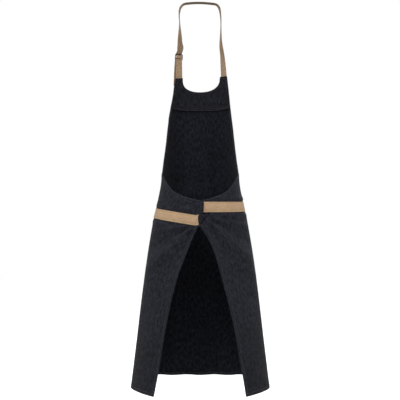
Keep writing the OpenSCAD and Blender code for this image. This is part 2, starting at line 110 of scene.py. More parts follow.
# ---- the body the apron hangs on
half_w = curve((Z_HEM, HEM_HALF), (Z_HIP, HIP_HALF), (Z_WAIST, WAIST_HALF), (Z_ARM, ARM_HALF), (Z_BIB, ARM_HALF + 8))
flat_w = curve(
    (Z_HEM, 0.64 * HEM_HALF), (Z_HIP, 0.36 * HIP_HALF), (Z_WAIST, 0.32 * WAIST_HALF),
    (Z_ARM, 0.36 * ARM_HALF), (Z_BIB, 0.36 * ARM_HALF))
front_y = curve(
    (Z_HEM, SIDE_Y + HEM_FRONT), (Z_HIP - 120, SIDE_Y + WAIST_FRONT + 15), (Z_HIP, SIDE_Y + WAIST_FRONT + 2),
    (Z_WAIST, SIDE_Y + WAIST_FRONT), (Z_WAIST + 40, SIDE_Y + WAIST_FRONT + 6), (Z_ARM - 10, SIDE_Y + CHEST - 3),
    (Z_ARM + 90, SIDE_Y + CHEST + 5), (Z_ARM + 170, SIDE_Y + CHEST + 5), (Z_BIB, SIDE_Y + CHEST - 8))
back_n = curve((Z_HEM, 1.5), (Z_CORNER, 1.7), (Z_SLIT, 2.0), (Z_ARM, 2.0))


def slit_z(t):
    return Z_SLIT + t * (Z_HEM - Z_SLIT)


slit_right = curve(*[(slit_z(t), k * SLIT_HALF) for t, k in (
    (0, -0.03), (0.07, 0.15), (0.17, 0.31), (0.36, 0.51), (0.56, 0.69), (0.8, 0.86), (1, 1))])
slit_left = curve(*[(slit_z(t), k * SLIT_HALF) for t, k in (
    (0, 0.03), (0.055, 0.13), (0.15, 0.27), (0.33, 0.515), (0.63, 0.765), (0.85, 0.89), (1, 1))])
wrap_top = ((Z_WAIST + 42, 56), (Z_WAIST + 53, 75), (Z_WAIST + 70, 90), (Z_ARM, ARM_HALF))
right_end = curve((Z_SLIT, -0.03 * SLIT_HALF), (Z_WAIST - 15, -6), (Z_WAIST - 9.5, 6.6), (Z_WAIST + 27.2, 4.5),
                  (Z_WAIST + 28.5, 15), (Z_WAIST + 32, 28), *wrap_top)
left_end = curve((Z_SLIT, 0.03 * SLIT_HALF), (Z_WAIST - 9.9, -5.7), (Z_WAIST - 7, -8.1), (Z_WAIST + 23.6, -8.9),
                 (Z_WAIST + 24.4, -7), (Z_WAIST + 25.5, -1.5), (Z_WAIST + 32, 28), *wrap_top)


def section_tables():
    """x and y of the half-section at each height, at even steps of length along the cloth."""
    zs = np.arange(Z_HEM - 6, Z_BIB + 8, 2.0)
    ls = np.arange(0, 700, 2.0)
    s = np.linspace(0, 3.5, 900)
    tx, ty = np.zeros((len(zs), len(ls))), np.zeros((len(zs), len(ls)))
    for i, z in enumerate(zs):
        h, f, n, yf = float(half_w(z)), float(flat_w(z)), float(back_n(z)), float(front_y(z))
        e = (float(slit_right(z)) + float(slit_left(z))) / 2
        t = min(1, max(0, (Z_SLIT - z) / (Z_SLIT - Z_HEM)))
        bb = (WAIST_BACK + (HEM_BACK - WAIST_BACK) * t) / (1 - min(0.9, max(0, e) / h) ** n) ** (1 / n)
        a = np.radians(90 * (s - 1))
        b = np.radians(90 * (s - 2))
        cb = np.cos(b)
        x = np.where(s <= 1, s * f, np.where(s <= 2, f + (h - f) * np.sin(a), h * np.sign(cb) * np.abs(cb) ** (2 / n)))
        y = np.where(s <= 1, yf, np.where(
            s <= 2, SIDE_Y + (yf - SIDE_Y) * np.cos(a), SIDE_Y - bb * np.abs(np.sin(np.maximum(b, 0))) ** (2 / n)))
        g = np.concatenate([[0], np.cumsum(np.hypot(np.diff(x), np.diff(y)))])
        tx[i], ty[i] = np.interp(ls, g, x), np.interp(ls, g, y)
    return zs, ls, tx, ty


ZS, LS, TX, TY = section_tables()


def base(l, z):
    """The smooth body at length l from the centre front (+ to the wearer's right) and height z."""
    l, z = np.broadcast_arrays(np.asarray(l, float), np.asarray(z, float))
    fi = np.clip((z - ZS[0]) / 2.0, 0, len(ZS) - 1.001)
    fj = np.clip(np.abs(l) / 2.0, 0, len(LS) - 1.001)
    i, j = fi.astype(int), fj.astype(int)
    u, v = fi - i, fj - j
    out = []
    for t in (TX, TY):
        out.append(t[i, j] * (1 - u) * (1 - v) + t[i + 1, j] * u * (1 - v) + t[i, j + 1] * (1 - u) * v
                   + t[i + 1, j + 1] * u * v)
    return np.stack([out[0] * np.where(l < 0, -1, 1), out[1], z], -1)


def unit(v):
    return v / np.linalg.norm(v, axis=-1, keepdims=True)


def normal(l, z):
    return unit(np.cross(base(l, z + 3) - base(l, z - 3), base(l + 3, z) - base(l - 3, z)))


def length_at(x_end, z, back=True):
    """Length along the section to where it has half-width x_end, on the back or the front."""
    i = int(np.clip(round((z - ZS[0]) / 2.0), 0, len(ZS) - 1))
    k = int(np.argmax(TX[i]))
    if back:
        return float(np.interp(-x_end, -TX[i][k:], LS[k:]))
    return float(np.interp(x_end, TX[i][: k + 1], LS[: k + 1]))


def front_length(x, z):
    return math.copysign(length_at(abs(x), z, False), x)


_ends = {}


def cloth_end(side, z):
    """Length from the centre front to the cloth's left (-1) or right (+1) edge at height z."""
    out = []
    for v in np.atleast_1d(z):
        key = (side, round(float(v), 3))
        if key not in _ends:
            if v >= Z_ARM:
                w = BIB_HALF + (ARM_HALF - BIB_HALF) * (Z_BIB - v) / (Z_BIB - Z_ARM)
                if side < 0:
                    pull = 0.75 * smooth(Z_BIB - 128, Z_BIB - 42, v) + 0.25 * smooth(Z_BIB - 42, Z_BIB, v)
                    w -= TAB_SHIFT * float(pull)
                else:
                    w -= 0.8 * float(smooth(Z_BIB - 46, Z_BIB + 4, v))
                _ends[key] = length_at(w, v, False)
            else:
                right, left = (right_end, left_end) if v > Z_SLIT else (slit_right, slit_left)
                _ends[key] = length_at(float((right if side > 0 else left)(v)), v)
        out.append(_ends[key])
    return np.array(out) if np.ndim(z) else out[0]


def spread(u, z):
    """Lengths that spread u, from -1 to 1, from edge to edge of the cloth at height z."""
    return np.where(u < 0, u * cloth_end(-1, z), u * cloth_end(1, z))


def top_z(x):
    """Height of the top edge: the neck scoop, and the tabs beside it."""
    x = np.asarray(x, float)
    a = np.clip(np.where(x > 0, x / (SCOOP_HALF + 3.8), -x / (SCOOP_HALF - 3)), 0, 1)
    n = np.where(x > 0, 2.12, 2.35)
    low = 3.2 * smooth(-20, -52, x)
    tip = 2.6 * smooth(-53, -74, x)
    return -tip + Z_BIB - low - (SCOOP_DEPTH - low) * (1 - a**n) ** (1 / n)


# ---- folds and small unevenness of the cloth
_lat = RNG.random((64, 64)) * 2 - 1


def noise(u, v):
    """Smooth noise of about -1 to 1, one cell to a unit."""
    i, j = np.floor(u).astype(int), np.floor(v).astype(int)
    a, b = u - i, v - j
    a, b = a * a * (3 - 2 * a), b * b * (3 - 2 * b)

    def g(p, q):
        return _lat[p % 64, q % 64]

    return (g(i, j) * (1 - a) + g(i + 1, j) * a) * (1 - b) + (g(i, j + 1) * (1 - a) + g(i + 1, j + 1) * a) * b


def tie_z(l, side):
    """Centre height of a waist tie along its run."""
    p = base(l, np.full(np.shape(l), Z_WAIST))
    a = np.where(p[..., 1] > SIDE_Y, 1 - (p[..., 1] - SIDE_Y) / (front_y(Z_WAIST) - SIDE_Y),
                 1 + (SIDE_Y - p[..., 1]) / WAIST_BACK)
    if side < 0:
        back = np.where(a < 1, Z_WAIST - 9, Z_TIE_L + (Z_WAIST - 9 - Z_TIE_L) * np.abs(p[..., 0]) / WAIST_HALF)
        return Z_KNOT + (back - Z_KNOT) * smooth(-0.05, 1.05, a)
    return Z_KNOT + (Z_TIE_R - Z_KNOT) * smooth(0.2, 1, a)


def ridge(d, w):
    return np.exp(-((d / w) ** 2))


def segment(px, pz, a, b):
    """Distance from points to a segment in the plane of the back, and the share along it."""
    ax, az = b[0] - a[0], b[1] - a[1]
    t = np.clip(((px - a[0]) * ax + (pz - a[1]) * az) / (ax * ax + az * az), 0, 1)
    return np.hypot(px - a[0] - t * ax, pz - a[1] - t * az), t


def drape(l, z):
    """How far the cloth stands out from the smooth body."""
    l, z = np.broadcast_arrays(np.asarray(l, float), np.asarray(z, float))
    p = base(l, z)
    x, y = p[..., 0], p[..., 1]
    front = smooth(SIDE_Y + 30, SIDE_Y + 80, y)
    back = smooth(SIDE_Y - 5, SIDE_Y - 45, y)
    low = smooth(Z_HIP - 60, Z_HEM, z)
    d = np.zeros(np.shape(l))
    # the front hem's soft waves
    fw = flat_w(z)
    wave = 3.5 * (1 + np.cos(2 * np.pi * (x - 1) / 84)) * smooth(Z_HIP - 150, Z_HEM, z)
    d -= wave * (1 - smooth(0.75 * fw, fw, np.abs(x))) * front
    # long soft folds of the bib, over and under the bust line
    for cx, w, k in ((-50, 11, 3.4), (1, 15, 2.6), (49, 11, 3.6), (-24, 9, -1.6), (26, 9, -1.6)):
        lean = (z - Z_ARM) * 0.05 * np.sign(cx)
        d += front * k * ridge(x - cx + lean, w) * smooth(Z_WAIST - 10, Z_WAIST + 60, z) * smooth(
            Z_BIB - FACING_DROP + 30, Z_BIB - FACING_DROP - 90, z)
    # folds of the skirt's front, from the gathers at the waist
    for cx, w, k in ((-78, 13, 2.6), (-34, 12, 1.6), (12, 14, 1.4), (52, 12, 1.8), (88, 13, 2.4)):
        lean = (Z_WAIST - z) * 0.12 * cx / 60
        d += front * k * ridge(x - cx - lean, w * (1 + (Z_WAIST - z) / 500)) * smooth(Z_WAIST - 5, Z_WAIST - 60, z) * (
            1 - 0.5 * low)
    # folds pulled from the tie ends down and out across the back
    right, left = back * (x > 0), back * (x <= 0)
    for sgn, half in ((1, right), (-1, left)):
        ox, oz = (10.0, Z_WAIST - 16) if sgn > 0 else (-9.0, Z_WAIST - 34)
        ang = np.degrees(np.arctan2(oz - z, sgn * (x - ox) + 1e-6))
        r = np.hypot(x - ox, z - oz)
        fade = smooth(6, 40, r) * smooth(430, 120, r)
        for a0, w, k in ((74, 5, 4.4), (60, 5, -3.8), (44, 6, 5.6), (29, 5, -3.8), (14, 4.5, 3.0)):
            d += half * k * ridge(ang - a0, w) * fade
    # the soft curl of the slit's edges
    e = np.where(x > 0, slit_right(z), slit_left(z))
    near = ridge(np.abs(x) - e, 34) * back * smooth(Z_SLIT - 20, Z_SLIT - 180, z)
    d += 2.2 * near * np.sin((z - Z_SLIT) / 62.0 + np.where(x > 0, 0.4, 2.0))
    # the cloth swells above and below the ties, and is pressed under them
    for side in (-1, 1):
        on = smooth(-14, 14, side * x + np.where(y < SIDE_Y, 20, 0))
        c = tie_z(l, side)
        q = np.abs(z - c) - TIE_W / 2
        puff = 1.7 * ridge(q - 9, 7) * (q > 0)
        d += on * puff * (0.75 + 0.5 * noise(l / 26.0 + 9 * side, z / 60.0 + 3))
        d = d * (1 - on * smooth(7, -2, q)) - 0.9 * on * smooth(5, -2, q)
    # creases beside the crossed ends
    for half, p0, p1, k, shift, w, ease, power in (
        (right, (2.0, -36), (22.0, -10), -6.0, 0, 3.2, 0.3, 1), (right, (2.0, -36), (22.0, -10), 2.4, 6.5, 3.0, 0.6, 1),
        (right, (7.0, -9), (30.0, -9), -6.4, 0, 3.4, 1, 0.6), (left, (-8.0, -18), (-44.0, 4), -2.2, 0, 5.0, 1, 1),
        (right, (14.0, 24), (60.0, 34), -0.9, 0, 6.0, 1, 1),
    ):
        dist, t = segment(x, z, (p0[0], Z_WAIST + p0[1]), (p1[0], Z_WAIST + p1[1]))
        d += k * half * ridge(dist - shift, w) * (1 - ease * t) ** power
    # general unevenness, least at the side lines so that the outline stays straight
    calm = 0.35 + 0.65 * np.clip(np.abs(y - SIDE_Y) / 60, 0, 1)
    d += calm * (0.55 * noise(l / 34.0, z / 70.0) + 0.3 * noise(l / 13.0 + 5, z / 19.0) + 0.1 * noise(l / 4.0, z / 4.5))
    # the crossed ends: the left wrap's end rides over the tie above, the right wrap's end rides over the tie below
    d += back * 3.3 * smooth(Z_WAIST - 10, Z_WAIST - 1, z) * smooth(-16, 3, x) * (l < 0)
    d += back * 3.3 * smooth(Z_WAIST - 9, Z_WAIST - 15, z) * smooth(Z_SLIT - 40, Z_SLIT - 6, z) * smooth(
        17, 0, x) * (l > 0)
    return d


def at(l, z, off=0.0, press=None):
    """Points on the cloth's middle layer, moved outwards by off."""
    l, z = np.broadcast_arrays(np.asarray(l, float), np.asarray(z, float))
    d = drape(l, z) if press is None else press
    return base(l, z) + normal(l, z) * (d + off)[..., None]


# ---- mesh helpers
def mesh_object(name, verts, faces, mat, uvs=None):
    me = bpy.data.meshes.new(name)
    me.from_pydata([tuple(v) for v in np.asarray(verts) * MM], [], [tuple(int(i) for i in f) for f in faces])
    me.validate()
    if uvs is not None:
        layer = me.uv_layers.new(name="cloth")
        idx = np.zeros(len(me.loops), dtype=np.int32)
        me.loops.foreach_get("vertex_index", idx)
        layer.data.foreach_set("uv", (np.asarray(uvs)[idx] * MM).astype(np.float32).ravel())
    me.polygons.foreach_set("use_smooth", [True] * len(me.polygons))
    ob = bpy.data.objects.new(name, me)
    bpy.context.scene.collection.objects.link(ob)
    me.materials.append(mat)
    return ob


def sharpen(ob, degrees=50):
    """Marks edges sharper than an angle, so that rims stay crisp."""
    me = ob.data
    me.update()
    me.set_sharp_from_angle(angle=math.radians(degrees))


def layered(name, outer, inner, quads, mat, uv, mat_in=None):
    """A closed sheet between two layers of points that share the same quads."""
    n = len(outer)
    quads = np.asarray(quads)
    used = np.unique(quads)
    remap = -np.ones(n, int)
    remap[used] = np.arange(len(used))
    q = remap[quads]
    m = len(used)
    edges = {}
    for f in q:
        for a, b in zip(f, np.roll(f, -1)):
            edges[(a, b)] = True
    rim = [(a, b) for (a, b) in edges if (b, a) not in edges]
    faces = [tuple(f) for f in q] + [tuple(m + f[::-1]) for f in q]
    faces += [(b, a, a + m, b + m) for a, b in rim]
    v = np.concatenate([outer[used], inner[used]])
    ob = mesh_object(name, v, faces, mat, np.concatenate([uv[used], uv[used]]))
    if mat_in is not None:
        ob.data.materials.append(mat_in)
        k = np.zeros(len(ob.data.polygons), dtype=np.int32)
        k[len(q):2 * len(q)] = 1
        ob.data.polygons.foreach_set("material_index", k)
    sharpen(ob)
    return ob


def grid_quads(rows, cols):
    i, j = np.meshgrid(np.arange(rows - 1), np.arange(cols - 1), indexing="ij")
    a = (i * cols + j).ravel()
    return np.stack([a, a + 1, a + cols + 1, a + cols], -1)


def path_of(l, z):
    return np.stack(np.broadcast_arrays(l, z), -1)


def uv_grid(across, along):
    """UVs for rings of points, across each ring and along the rings."""
    x, y = np.meshgrid(across, along)
    return path_of(x.ravel(), y.ravel())


def tube_grid(name, rings, mat, uv=None, caps=True):
    """A skin over rings of points: rings is (n, k, 3). Without caps, the last ring joins the first."""
    n, k, _ = rings.shape
    faces = []
    for i in range(n - 1 if caps else n):
        o, p = i * k, (i + 1) % n * k
        for j in range(k):
            q = (j + 1) % k
            faces.append((o + j, o + q, p + q, p + j))
    if caps:
        faces.append(tuple(range(k))[::-1])
        faces.append(tuple((n - 1) * k + j for j in range(k)))
    ob = mesh_object(name, rings.reshape(-1, 3), faces, mat, uv)
    me = ob.data
    bm = bmesh.new()
    bm.from_mesh(me)
    bmesh.ops.recalc_face_normals(bm, faces=bm.faces)
    bm.to_mesh(me)
    bm.free()
    sharpen(ob, 55)
    return ob


def webbing_profile(w, t):
    """Half-widths and half-thicknesses round a webbing's section, with a rib along each selvedge."""
    h, s = w / 2, t / 2
    g = h * 0.72
    top = [(-h, 0.0), (-h + 0.25, s * 0.75), (-h + 0.8, s * 1.12), (-g - 0.7, s * 1.12), (-g - 0.15, s * 0.6),
           (-g + 0.35, s * 0.6), (-g + 0.9, s), (-h * 0.3, s * 1.03), (0, s * 1.03)]
    top = top + [(-a, b) for a, b in top[-2::-1]]
    return np.array(top + [(a, -b) for a, b in top[-2:0:-1]])


def webbing(name, pts, wdir, w, t, mat, taper=None):
    """A length of webbing along pts, its width along wdir."""
    pts, wdir = np.asarray(pts, float), np.asarray(wdir, float)
    tan = unit(np.gradient(pts, axis=0))
    a = unit(wdir - (wdir * tan).sum(1, keepdims=True) * tan)
    n = np.cross(tan, a)
    prof = webbing_profile(w, t)
    k = np.ones(len(pts)) if taper is None else np.asarray(taper)
    rings = pts[:, None] + a[:, None] * (prof[None, :, :1] * k[:, None, None]) + n[:, None] * prof[None, :, 1:]
    run = run_along(pts)
    ob = tube_grid(name, rings, mat, uv_grid(prof[:, 0] * (14 / (w / 2)), run))
    ob["run"] = float(run[-1])
    return ob


def spline(keys, n=8):
    k = np.asarray(keys, float)
    out = []
    for i in range(len(k) - 1):
        a, b, c, d = k[max(0, i - 1)], k[i], k[i + 1], k[min(len(k) - 1, i + 2)]
        for j in range(n + 1 if i == len(k) - 2 else n):
            t = j / n
            out.append(0.5 * (2 * b + (c - a) * t + (2 * a - 5 * b + 4 * c - d) * t * t
                              + (3 * b - a - 3 * c + d) * t**3))
    return np.array(out)


def run_along(p):
    """Length along points, from 0."""
    return np.concatenate([[0], np.cumsum(np.linalg.norm(np.diff(p, axis=0), axis=1))])


def interp_rows(v, x, rows):
    return np.stack([np.interp(v, x, rows[:, i]) for i in range(rows.shape[1])], -1)


def resample(p, step):
    g = run_along(p[:, :3])
    m = max(2, int(round(g[-1] / step)) + 1)
    s = np.linspace(0, g[-1], m)
    return interp_rows(s, g, p)


STITCH = []  # (group, centre, direction, up)


def stitch_line(group, p, up, length=2.9, gap=1.3):
    """Adds stitches along the points p, lying on the surface whose normals are up."""
    p, up = np.asarray(p, float), np.asarray(up, float)
    g = run_along(p)
    pitch = length + gap
    s = np.arange(pitch / 2, g[-1] - pitch / 4, pitch)
    for v in s:
        c, b, a = (interp_rows(w, g, p) for w in (v, v + length / 2, v - length / 2))
        n = interp_rows(v, g, up)
        if np.linalg.norm(b - a) > 0.3:
            STITCH.append((group, c, (b - a) / 2, n / np.linalg.norm(n)))


THREAD_R = 0.38


def stitches_object(name, group, mat):
    """All stitches of a group as one mesh of small rounded threads."""
    verts, faces = [], []
    ang = np.arange(6) * math.pi / 3
    for g, c, h, n in STITCH:
        if g != group:
            continue
        d = h / np.linalg.norm(h)
        n = n - (n @ d) * d
        n /= np.linalg.norm(n)
        b = np.cross(d, n)
        o = len(verts)
        for t, k, lift in ((-1, 0.35, -0.45), (-0.72, 0.95, 0.0), (0, 1.1, 0.18), (0.72, 0.95, 0.0), (1, 0.35, -0.45)):
            for a in ang:
                verts.append(c + h * t + n * (lift * THREAD_R + THREAD_R * k * math.sin(a))
                             + b * THREAD_R * k * math.cos(a))
        for i in range(4):
            for j in range(6):
                faces.append((o + i * 6 + j, o + i * 6 + (j + 1) % 6, o + i * 6 + 6 + (j + 1) % 6, o + i * 6 + 6 + j))
        faces.append(tuple(o + j for j in range(6))[::-1])
        faces.append(tuple(o + 24 + j for j in range(6)))
    return mesh_object(name, verts, faces, mat)


def sew(l, z, off, face=1, group=0, **size):
    """Stitches on the cloth's outer (1) or inner (-1) face."""
    stitch_line(group, at(l, z, off), face * normal(l, z), **size)


# ---- materials
class Nodes:
    """A small helper for building node trees."""

    def __init__(self, tree):
        self.t = tree

    def node(self, kind, **kw):
        n = self.t.nodes.new(kind)
        for k, v in kw.items():
            setattr(n, k, v)
        return n

    def link(self, a, b):
        self.t.links.new(a, b)

    def xyz(self, vector):
        n = self.node("ShaderNodeSeparateXYZ")
        self.link(vector, n.inputs[0])
        return n.outputs

    def map_range(self, value, *limits, **kw):
        """limits are from min, from max, to min and to max."""
        n = self.node("ShaderNodeMapRange", **kw)
        for i, v in enumerate(limits):
            n.inputs[i + 1].default_value = v
        self.link(value, n.inputs[0])
        return n.outputs[0]

    def light(self, kind, strength):
        n = self.node(kind)
        n.inputs["Strength"].default_value = strength
        return n.outputs[0]

    def for_camera(self, others, camera):
        """One shader for the camera's rays and another for all other rays."""
        pick = self.node("ShaderNodeMixShader")
        self.link(self.node("ShaderNodeLightPath").outputs["Is Camera Ray"], pick.inputs[0])
        self.link(others, pick.inputs[1])
        self.link(camera, pick.inputs[2])
        return pick.outputs[0]


class Mat(Nodes):
    """A node material around one Principled shader."""

    def __init__(self, name):
        self.m = bpy.data.materials.new(name)
        self.m.use_nodes = True
        super().__init__(self.m.node_tree)
        self.p = self.t.nodes["Principled BSDF"]

    def math(self, op, a, b=None, clamp=False):
        n = self.node("ShaderNodeMath", operation=op, use_clamp=clamp)
        for i, v in enumerate((a, b)):
            if v is None:
                continue
            if isinstance(v, (int, float)):
                n.inputs[i].default_value = v
            else:
                self.link(v, n.inputs[i])
        return n.outputs[0]

    def near(self, distance, width):
        """1 at no distance, falling to 0 at width."""
        return self.math("SUBTRACT", 1.0, self.math("DIVIDE", distance, width), clamp=True)

    def uv(self, sx=1.0, sy=1.0, rot=0.0):
        if not hasattr(self, "_uv"):
            self._uv = self.node("ShaderNodeUVMap", uv_map="cloth").outputs[0]
        m = self.node("ShaderNodeMapping")
        m.inputs["Scale"].default_value = (sx, sy, 1)
        m.inputs["Rotation"].default_value = (0, 0, rot)
        self.link(self._uv, m.inputs["Vector"])
        return m.outputs[0]

    def noise(self, vec, scale, detail=2.0, rough=0.5):
        n = self.node("ShaderNodeTexNoise")
        n.inputs["Scale"].default_value = scale
        n.inputs["Detail"].default_value = detail
        n.inputs["Roughness"].default_value = rough
        self.link(vec, n.inputs["Vector"])
        return n.outputs["Fac"]

    def ramp(self, fac, stops):
        r = self.node("ShaderNodeValToRGB")
        e = r.color_ramp.elements
        while len(e) < len(stops):
            e.new(0.5)
        for el, (p, c) in zip(e, stops):
            el.position = p
            el.color = (*c, 1) if len(c) == 3 else c
        self.link(fac, r.inputs[0])
        return r.outputs[0]

    def mix(self, fac, a, b, kind="MIX"):
        n = self.node("ShaderNodeMix", data_type="RGBA", blend_type=kind)
        for sock, v in ((n.inputs[0], fac), (n.inputs[6], a), (n.inputs[7], b)):
            if isinstance(v, (int, float)):
                sock.default_value = v
            elif isinstance(v, tuple):
                sock.default_value = (*v, 1)
            else:
                self.link(v, sock)
        return n.outputs[2]

    def bump(self, height, strength, distance, onto=None):
        n = self.node("ShaderNodeBump")
        n.inputs["Strength"].default_value = strength
        n.inputs["Distance"].default_value = distance
        self.link(height, n.inputs["Height"])
        if onto is not None:
            self.link(onto, n.inputs["Normal"])
        return n.outputs[0]

    def set(self, **kw):
        for k, v in kw.items():
            s = self.p.inputs[k.replace("_", " ")]
            if hasattr(v, "is_output"):
                self.link(v, s)
            else:
                s.default_value = v


def scaled(color, k):
    return tuple(min(1, c * k) for c in color)


def denim(name, dark, light, tone=1.0, edge=0.0, mottle=4.2, hem=None):
    m = Mat(name)
    wave = m.node("ShaderNodeTexWave", wave_type="BANDS", bands_direction="X", wave_profile="SIN")
    wave.inputs["Scale"].default_value = 210
    wave.inputs["Distortion"].default_value = 1.2
    wave.inputs["Detail"].default_value = 1.0
    m.link(m.uv(rot=math.radians(62)), wave.inputs["Vector"])
    yarn = m.noise(m.uv(1, 0.07), 900, 2, 0.6)
    weft = m.noise(m.uv(0.10, 1), 700, 1, 0.5)
    cloud = m.noise(m.uv(), 16, 3, 0.55)
    fade = m.noise(m.uv(1, 0.5), 150, 5, 0.72)
    speck = m.math("ADD", m.math("MULTIPLY", yarn, 0.6), m.math("MULTIPLY", weft, 0.25))
    speck = m.math("ADD", speck, m.math("MULTIPLY", wave.outputs["Fac"], 0.22))
    col = m.ramp(speck, [(0.36, dark), (0.74, light)])
    shade = m.math("ADD", m.math("MULTIPLY", cloud, 0.5), m.math("MULTIPLY", fade, mottle))
    shade = m.math("SUBTRACT", shade, 0.5 * mottle - 0.75)
    shade = m.math("MULTIPLY", m.math("MAXIMUM", shade, 0.25), tone)
    if hem:
        # painted shade: darker towards the hem, standing in for the light falling off there
        low = m.map_range(m.xyz(m.uv())[1], -0.76, -1.03, 1.0, hem, interpolation_type="SMOOTHSTEP")
        shade = m.math("MULTIPLY", shade, low)
    g = m.node("ShaderNodeCombineColor")
    for i in range(3):
        m.link(shade, g.inputs[i])
    col = m.mix(1.0, col, g.outputs[0], "MULTIPLY")
    if edge:
        rim = m.near(m.math("ABSOLUTE", m.xyz(m.uv())[0]), 0.0014)
        rub = m.math("MULTIPLY", m.math("MULTIPLY", rim, m.noise(m.uv(0.3, 1), 90, 3)), edge, clamp=True)
        col = m.mix(rub, col, scaled(light, 2.4))
    h = m.math("ADD", m.math("MULTIPLY", wave.outputs["Fac"], 0.7), m.math("MULTIPLY", yarn, 0.5))
    n = m.bump(h, 0.4, 0.0006)
    n = m.bump(m.noise(m.uv(), 120, 3), 0.22, 0.0012, n)
    m.set(Base_Color=col, Roughness=0.92, Normal=n, Sheen_Weight=0.04, Sheen_Roughness=0.5, Specular_IOR_Level=0.12)
    return m.m


def web_mat(name, base, nape=None):
    m = Mat(name)
    u, v, _ = m.xyz(m.uv())
    a = m.math("SINE", m.math("MULTIPLY", u, 2 * math.pi / 0.0014))
    b = m.math("SINE", m.math("MULTIPLY", v, 2 * math.pi / 0.0018))
    weave = m.math("ADD", m.math("MULTIPLY", m.math("MULTIPLY", a, b), 0.5), 0.5)
    rib = m.math("ABSOLUTE", m.math("SUBTRACT", m.math("ABSOLUTE", u), 0.0102))
    groove = m.near(rib, 0.0009)
    yarn = m.noise(m.uv(1, 0.12), 520, 2, 0.6)
    cloud = m.noise(m.uv(), 26, 3, 0.55)
    f = m.math("ADD", m.math("MULTIPLY", yarn, 0.55), m.math("MULTIPLY", weave, 0.3))
    f = m.math("ADD", f, m.math("MULTIPLY", cloud, 0.25))
    col = m.ramp(f, [(0.3, scaled(base, 0.72)), (0.78, scaled(base, 1.25))])
    col = m.mix(m.math("MULTIPLY", groove, 0.22), col, scaled(base, 0.5))
    if nape is not None:
        # painted shade: darker where it lies across the nape, standing in for the shade on the strap's underside
        off = m.math("SUBTRACT", m.math("ABSOLUTE", m.math("SUBTRACT", v, nape[0])), nape[1])
        col = m.mix(m.math("MULTIPLY", m.near(off, 0.007), 0.8), col, scaled(base, 0.22))
    h = m.math("SUBTRACT", m.math("ADD", weave, m.math("MULTIPLY", yarn, 0.5)), m.math("MULTIPLY", groove, 1.2))
    n = m.bump(h, 0.5, 0.0006)
    m.set(Base_Color=col, Roughness=0.88, Normal=n, Sheen_Weight=0.1, Sheen_Roughness=0.5, Specular_IOR_Level=0.25)
    return m.m


def thread_mat(name, base):
    m = Mat(name)
    co = m.node("ShaderNodeTexCoord").outputs["Object"]
    k = m.noise(co, 1500, 1)
    col = m.ramp(k, [(0.35, scaled(base, 0.7)), (0.7, scaled(base, 1.3))])
    m.set(Base_Color=col, Roughness=0.7, Normal=m.bump(k, 0.4, 0.0003), Sheen_Weight=0.1)
    return m.m


def metal_mat(name):
    m = Mat(name)
    co = m.node("ShaderNodeTexCoord").outputs["Object"]
    k = m.noise(co, 420, 4, 0.6)
    worn = m.noise(co, 90, 3)
    col = m.ramp(worn, [(0.4, (0.028, 0.023, 0.019)), (0.72, (0.066, 0.053, 0.043))])
    rough = m.math("ADD", m.math("MULTIPLY", k, 0.25), 0.38)
    m.set(Base_Color=col, Metallic=0.5, Roughness=rough, Normal=m.bump(k, 0.12, 0.0003), Specular_IOR_Level=0.25)
    return m.m


TAN = (0.46, 0.31, 0.182)
DARK, LIGHT = (0.0066, 0.0069, 0.0098), (0.0252, 0.0262, 0.0362)
# hem=0.76 darkens the outer denim towards the hem: painted shade
M_CLOTH = denim("denim_twill", DARK, LIGHT, hem=0.76)
# the inner face: a bluer, more mottled copy of the denim, partly the wrong side's own colour, with its tone cut to 0.52
# as painted shade for the inside of the apron
M_INNER = denim("denim_inner_face_and_shade", (0.0064, 0.0070, 0.0110), (0.0244, 0.0264, 0.0400), tone=0.52, mottle=6.0)
# also darker towards the hem: painted shade
M_PLAIN = denim("denim_hem_plain", DARK, LIGHT, hem=0.76)
M_HEM = denim("denim_hem", DARK, LIGHT, edge=0.9)
# the facing: the same denim at tone 0.74, painted shade for its place inside the bib
M_FACING = denim("facing_denim_painted_shade", (0.0068, 0.0070, 0.0094), (0.0256, 0.0263, 0.0360), tone=0.74)
# painted shade: a much darker copy of the denim for the facing's rolled-under lower edge, standing in for the shadow
# under it
M_EDGE_SHADE = denim("denim_rolled_edge_shade", DARK, LIGHT, tone=0.22)
M_TIE = web_mat("webbing_tan", TAN)
NECK_TAN = (0.36, 0.245, 0.152)
M_NECK = web_mat("webbing_neck", NECK_TAN)
M_THREAD = thread_mat("thread_dark", (0.016, 0.0165, 0.021))
M_TAN_THREAD = thread_mat("thread_tan", (0.26, 0.18, 0.115))
M_METAL = metal_mat("slider_gunmetal")

JOINTS = {j["name"]: j for j in frame["record"]["behaviour"]["joints"]}



def place(ob, body=None, node=None):
    """Rides a piece on a body and lets it stand for a CAD node, whose part it hides."""
    if body:
        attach(ob, body)
    if node:
        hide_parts(node)
    return ob


# ---- fold lines of the loose hem corners
FOLD = {}
for side, name in ((-1, "hem_corner_left"), (1, "hem_corner_right")):
    j = JOINTS[name + "_swing"]
    A = np.array(j["pos_m"]) / MM
    a = np.array(j["axis"], float)
    corner = at(side * cloth_end(side, Z_HEM + 1), Z_HEM + 1)
    e = corner - A
    e = e - (e @ a) * a
    FOLD[side] = (A, a, e / np.linalg.norm(e), name)


def beyond_fold(p, side):
    A, a, e, _ = FOLD[side]
    return (np.asarray(p) - A) @ e


BLEND_BACK, BLEND_ON = 26.0, 3.0


def blend_corner(ob, side):
    A, a, e, body = FOLD[side]
    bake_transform(ob)


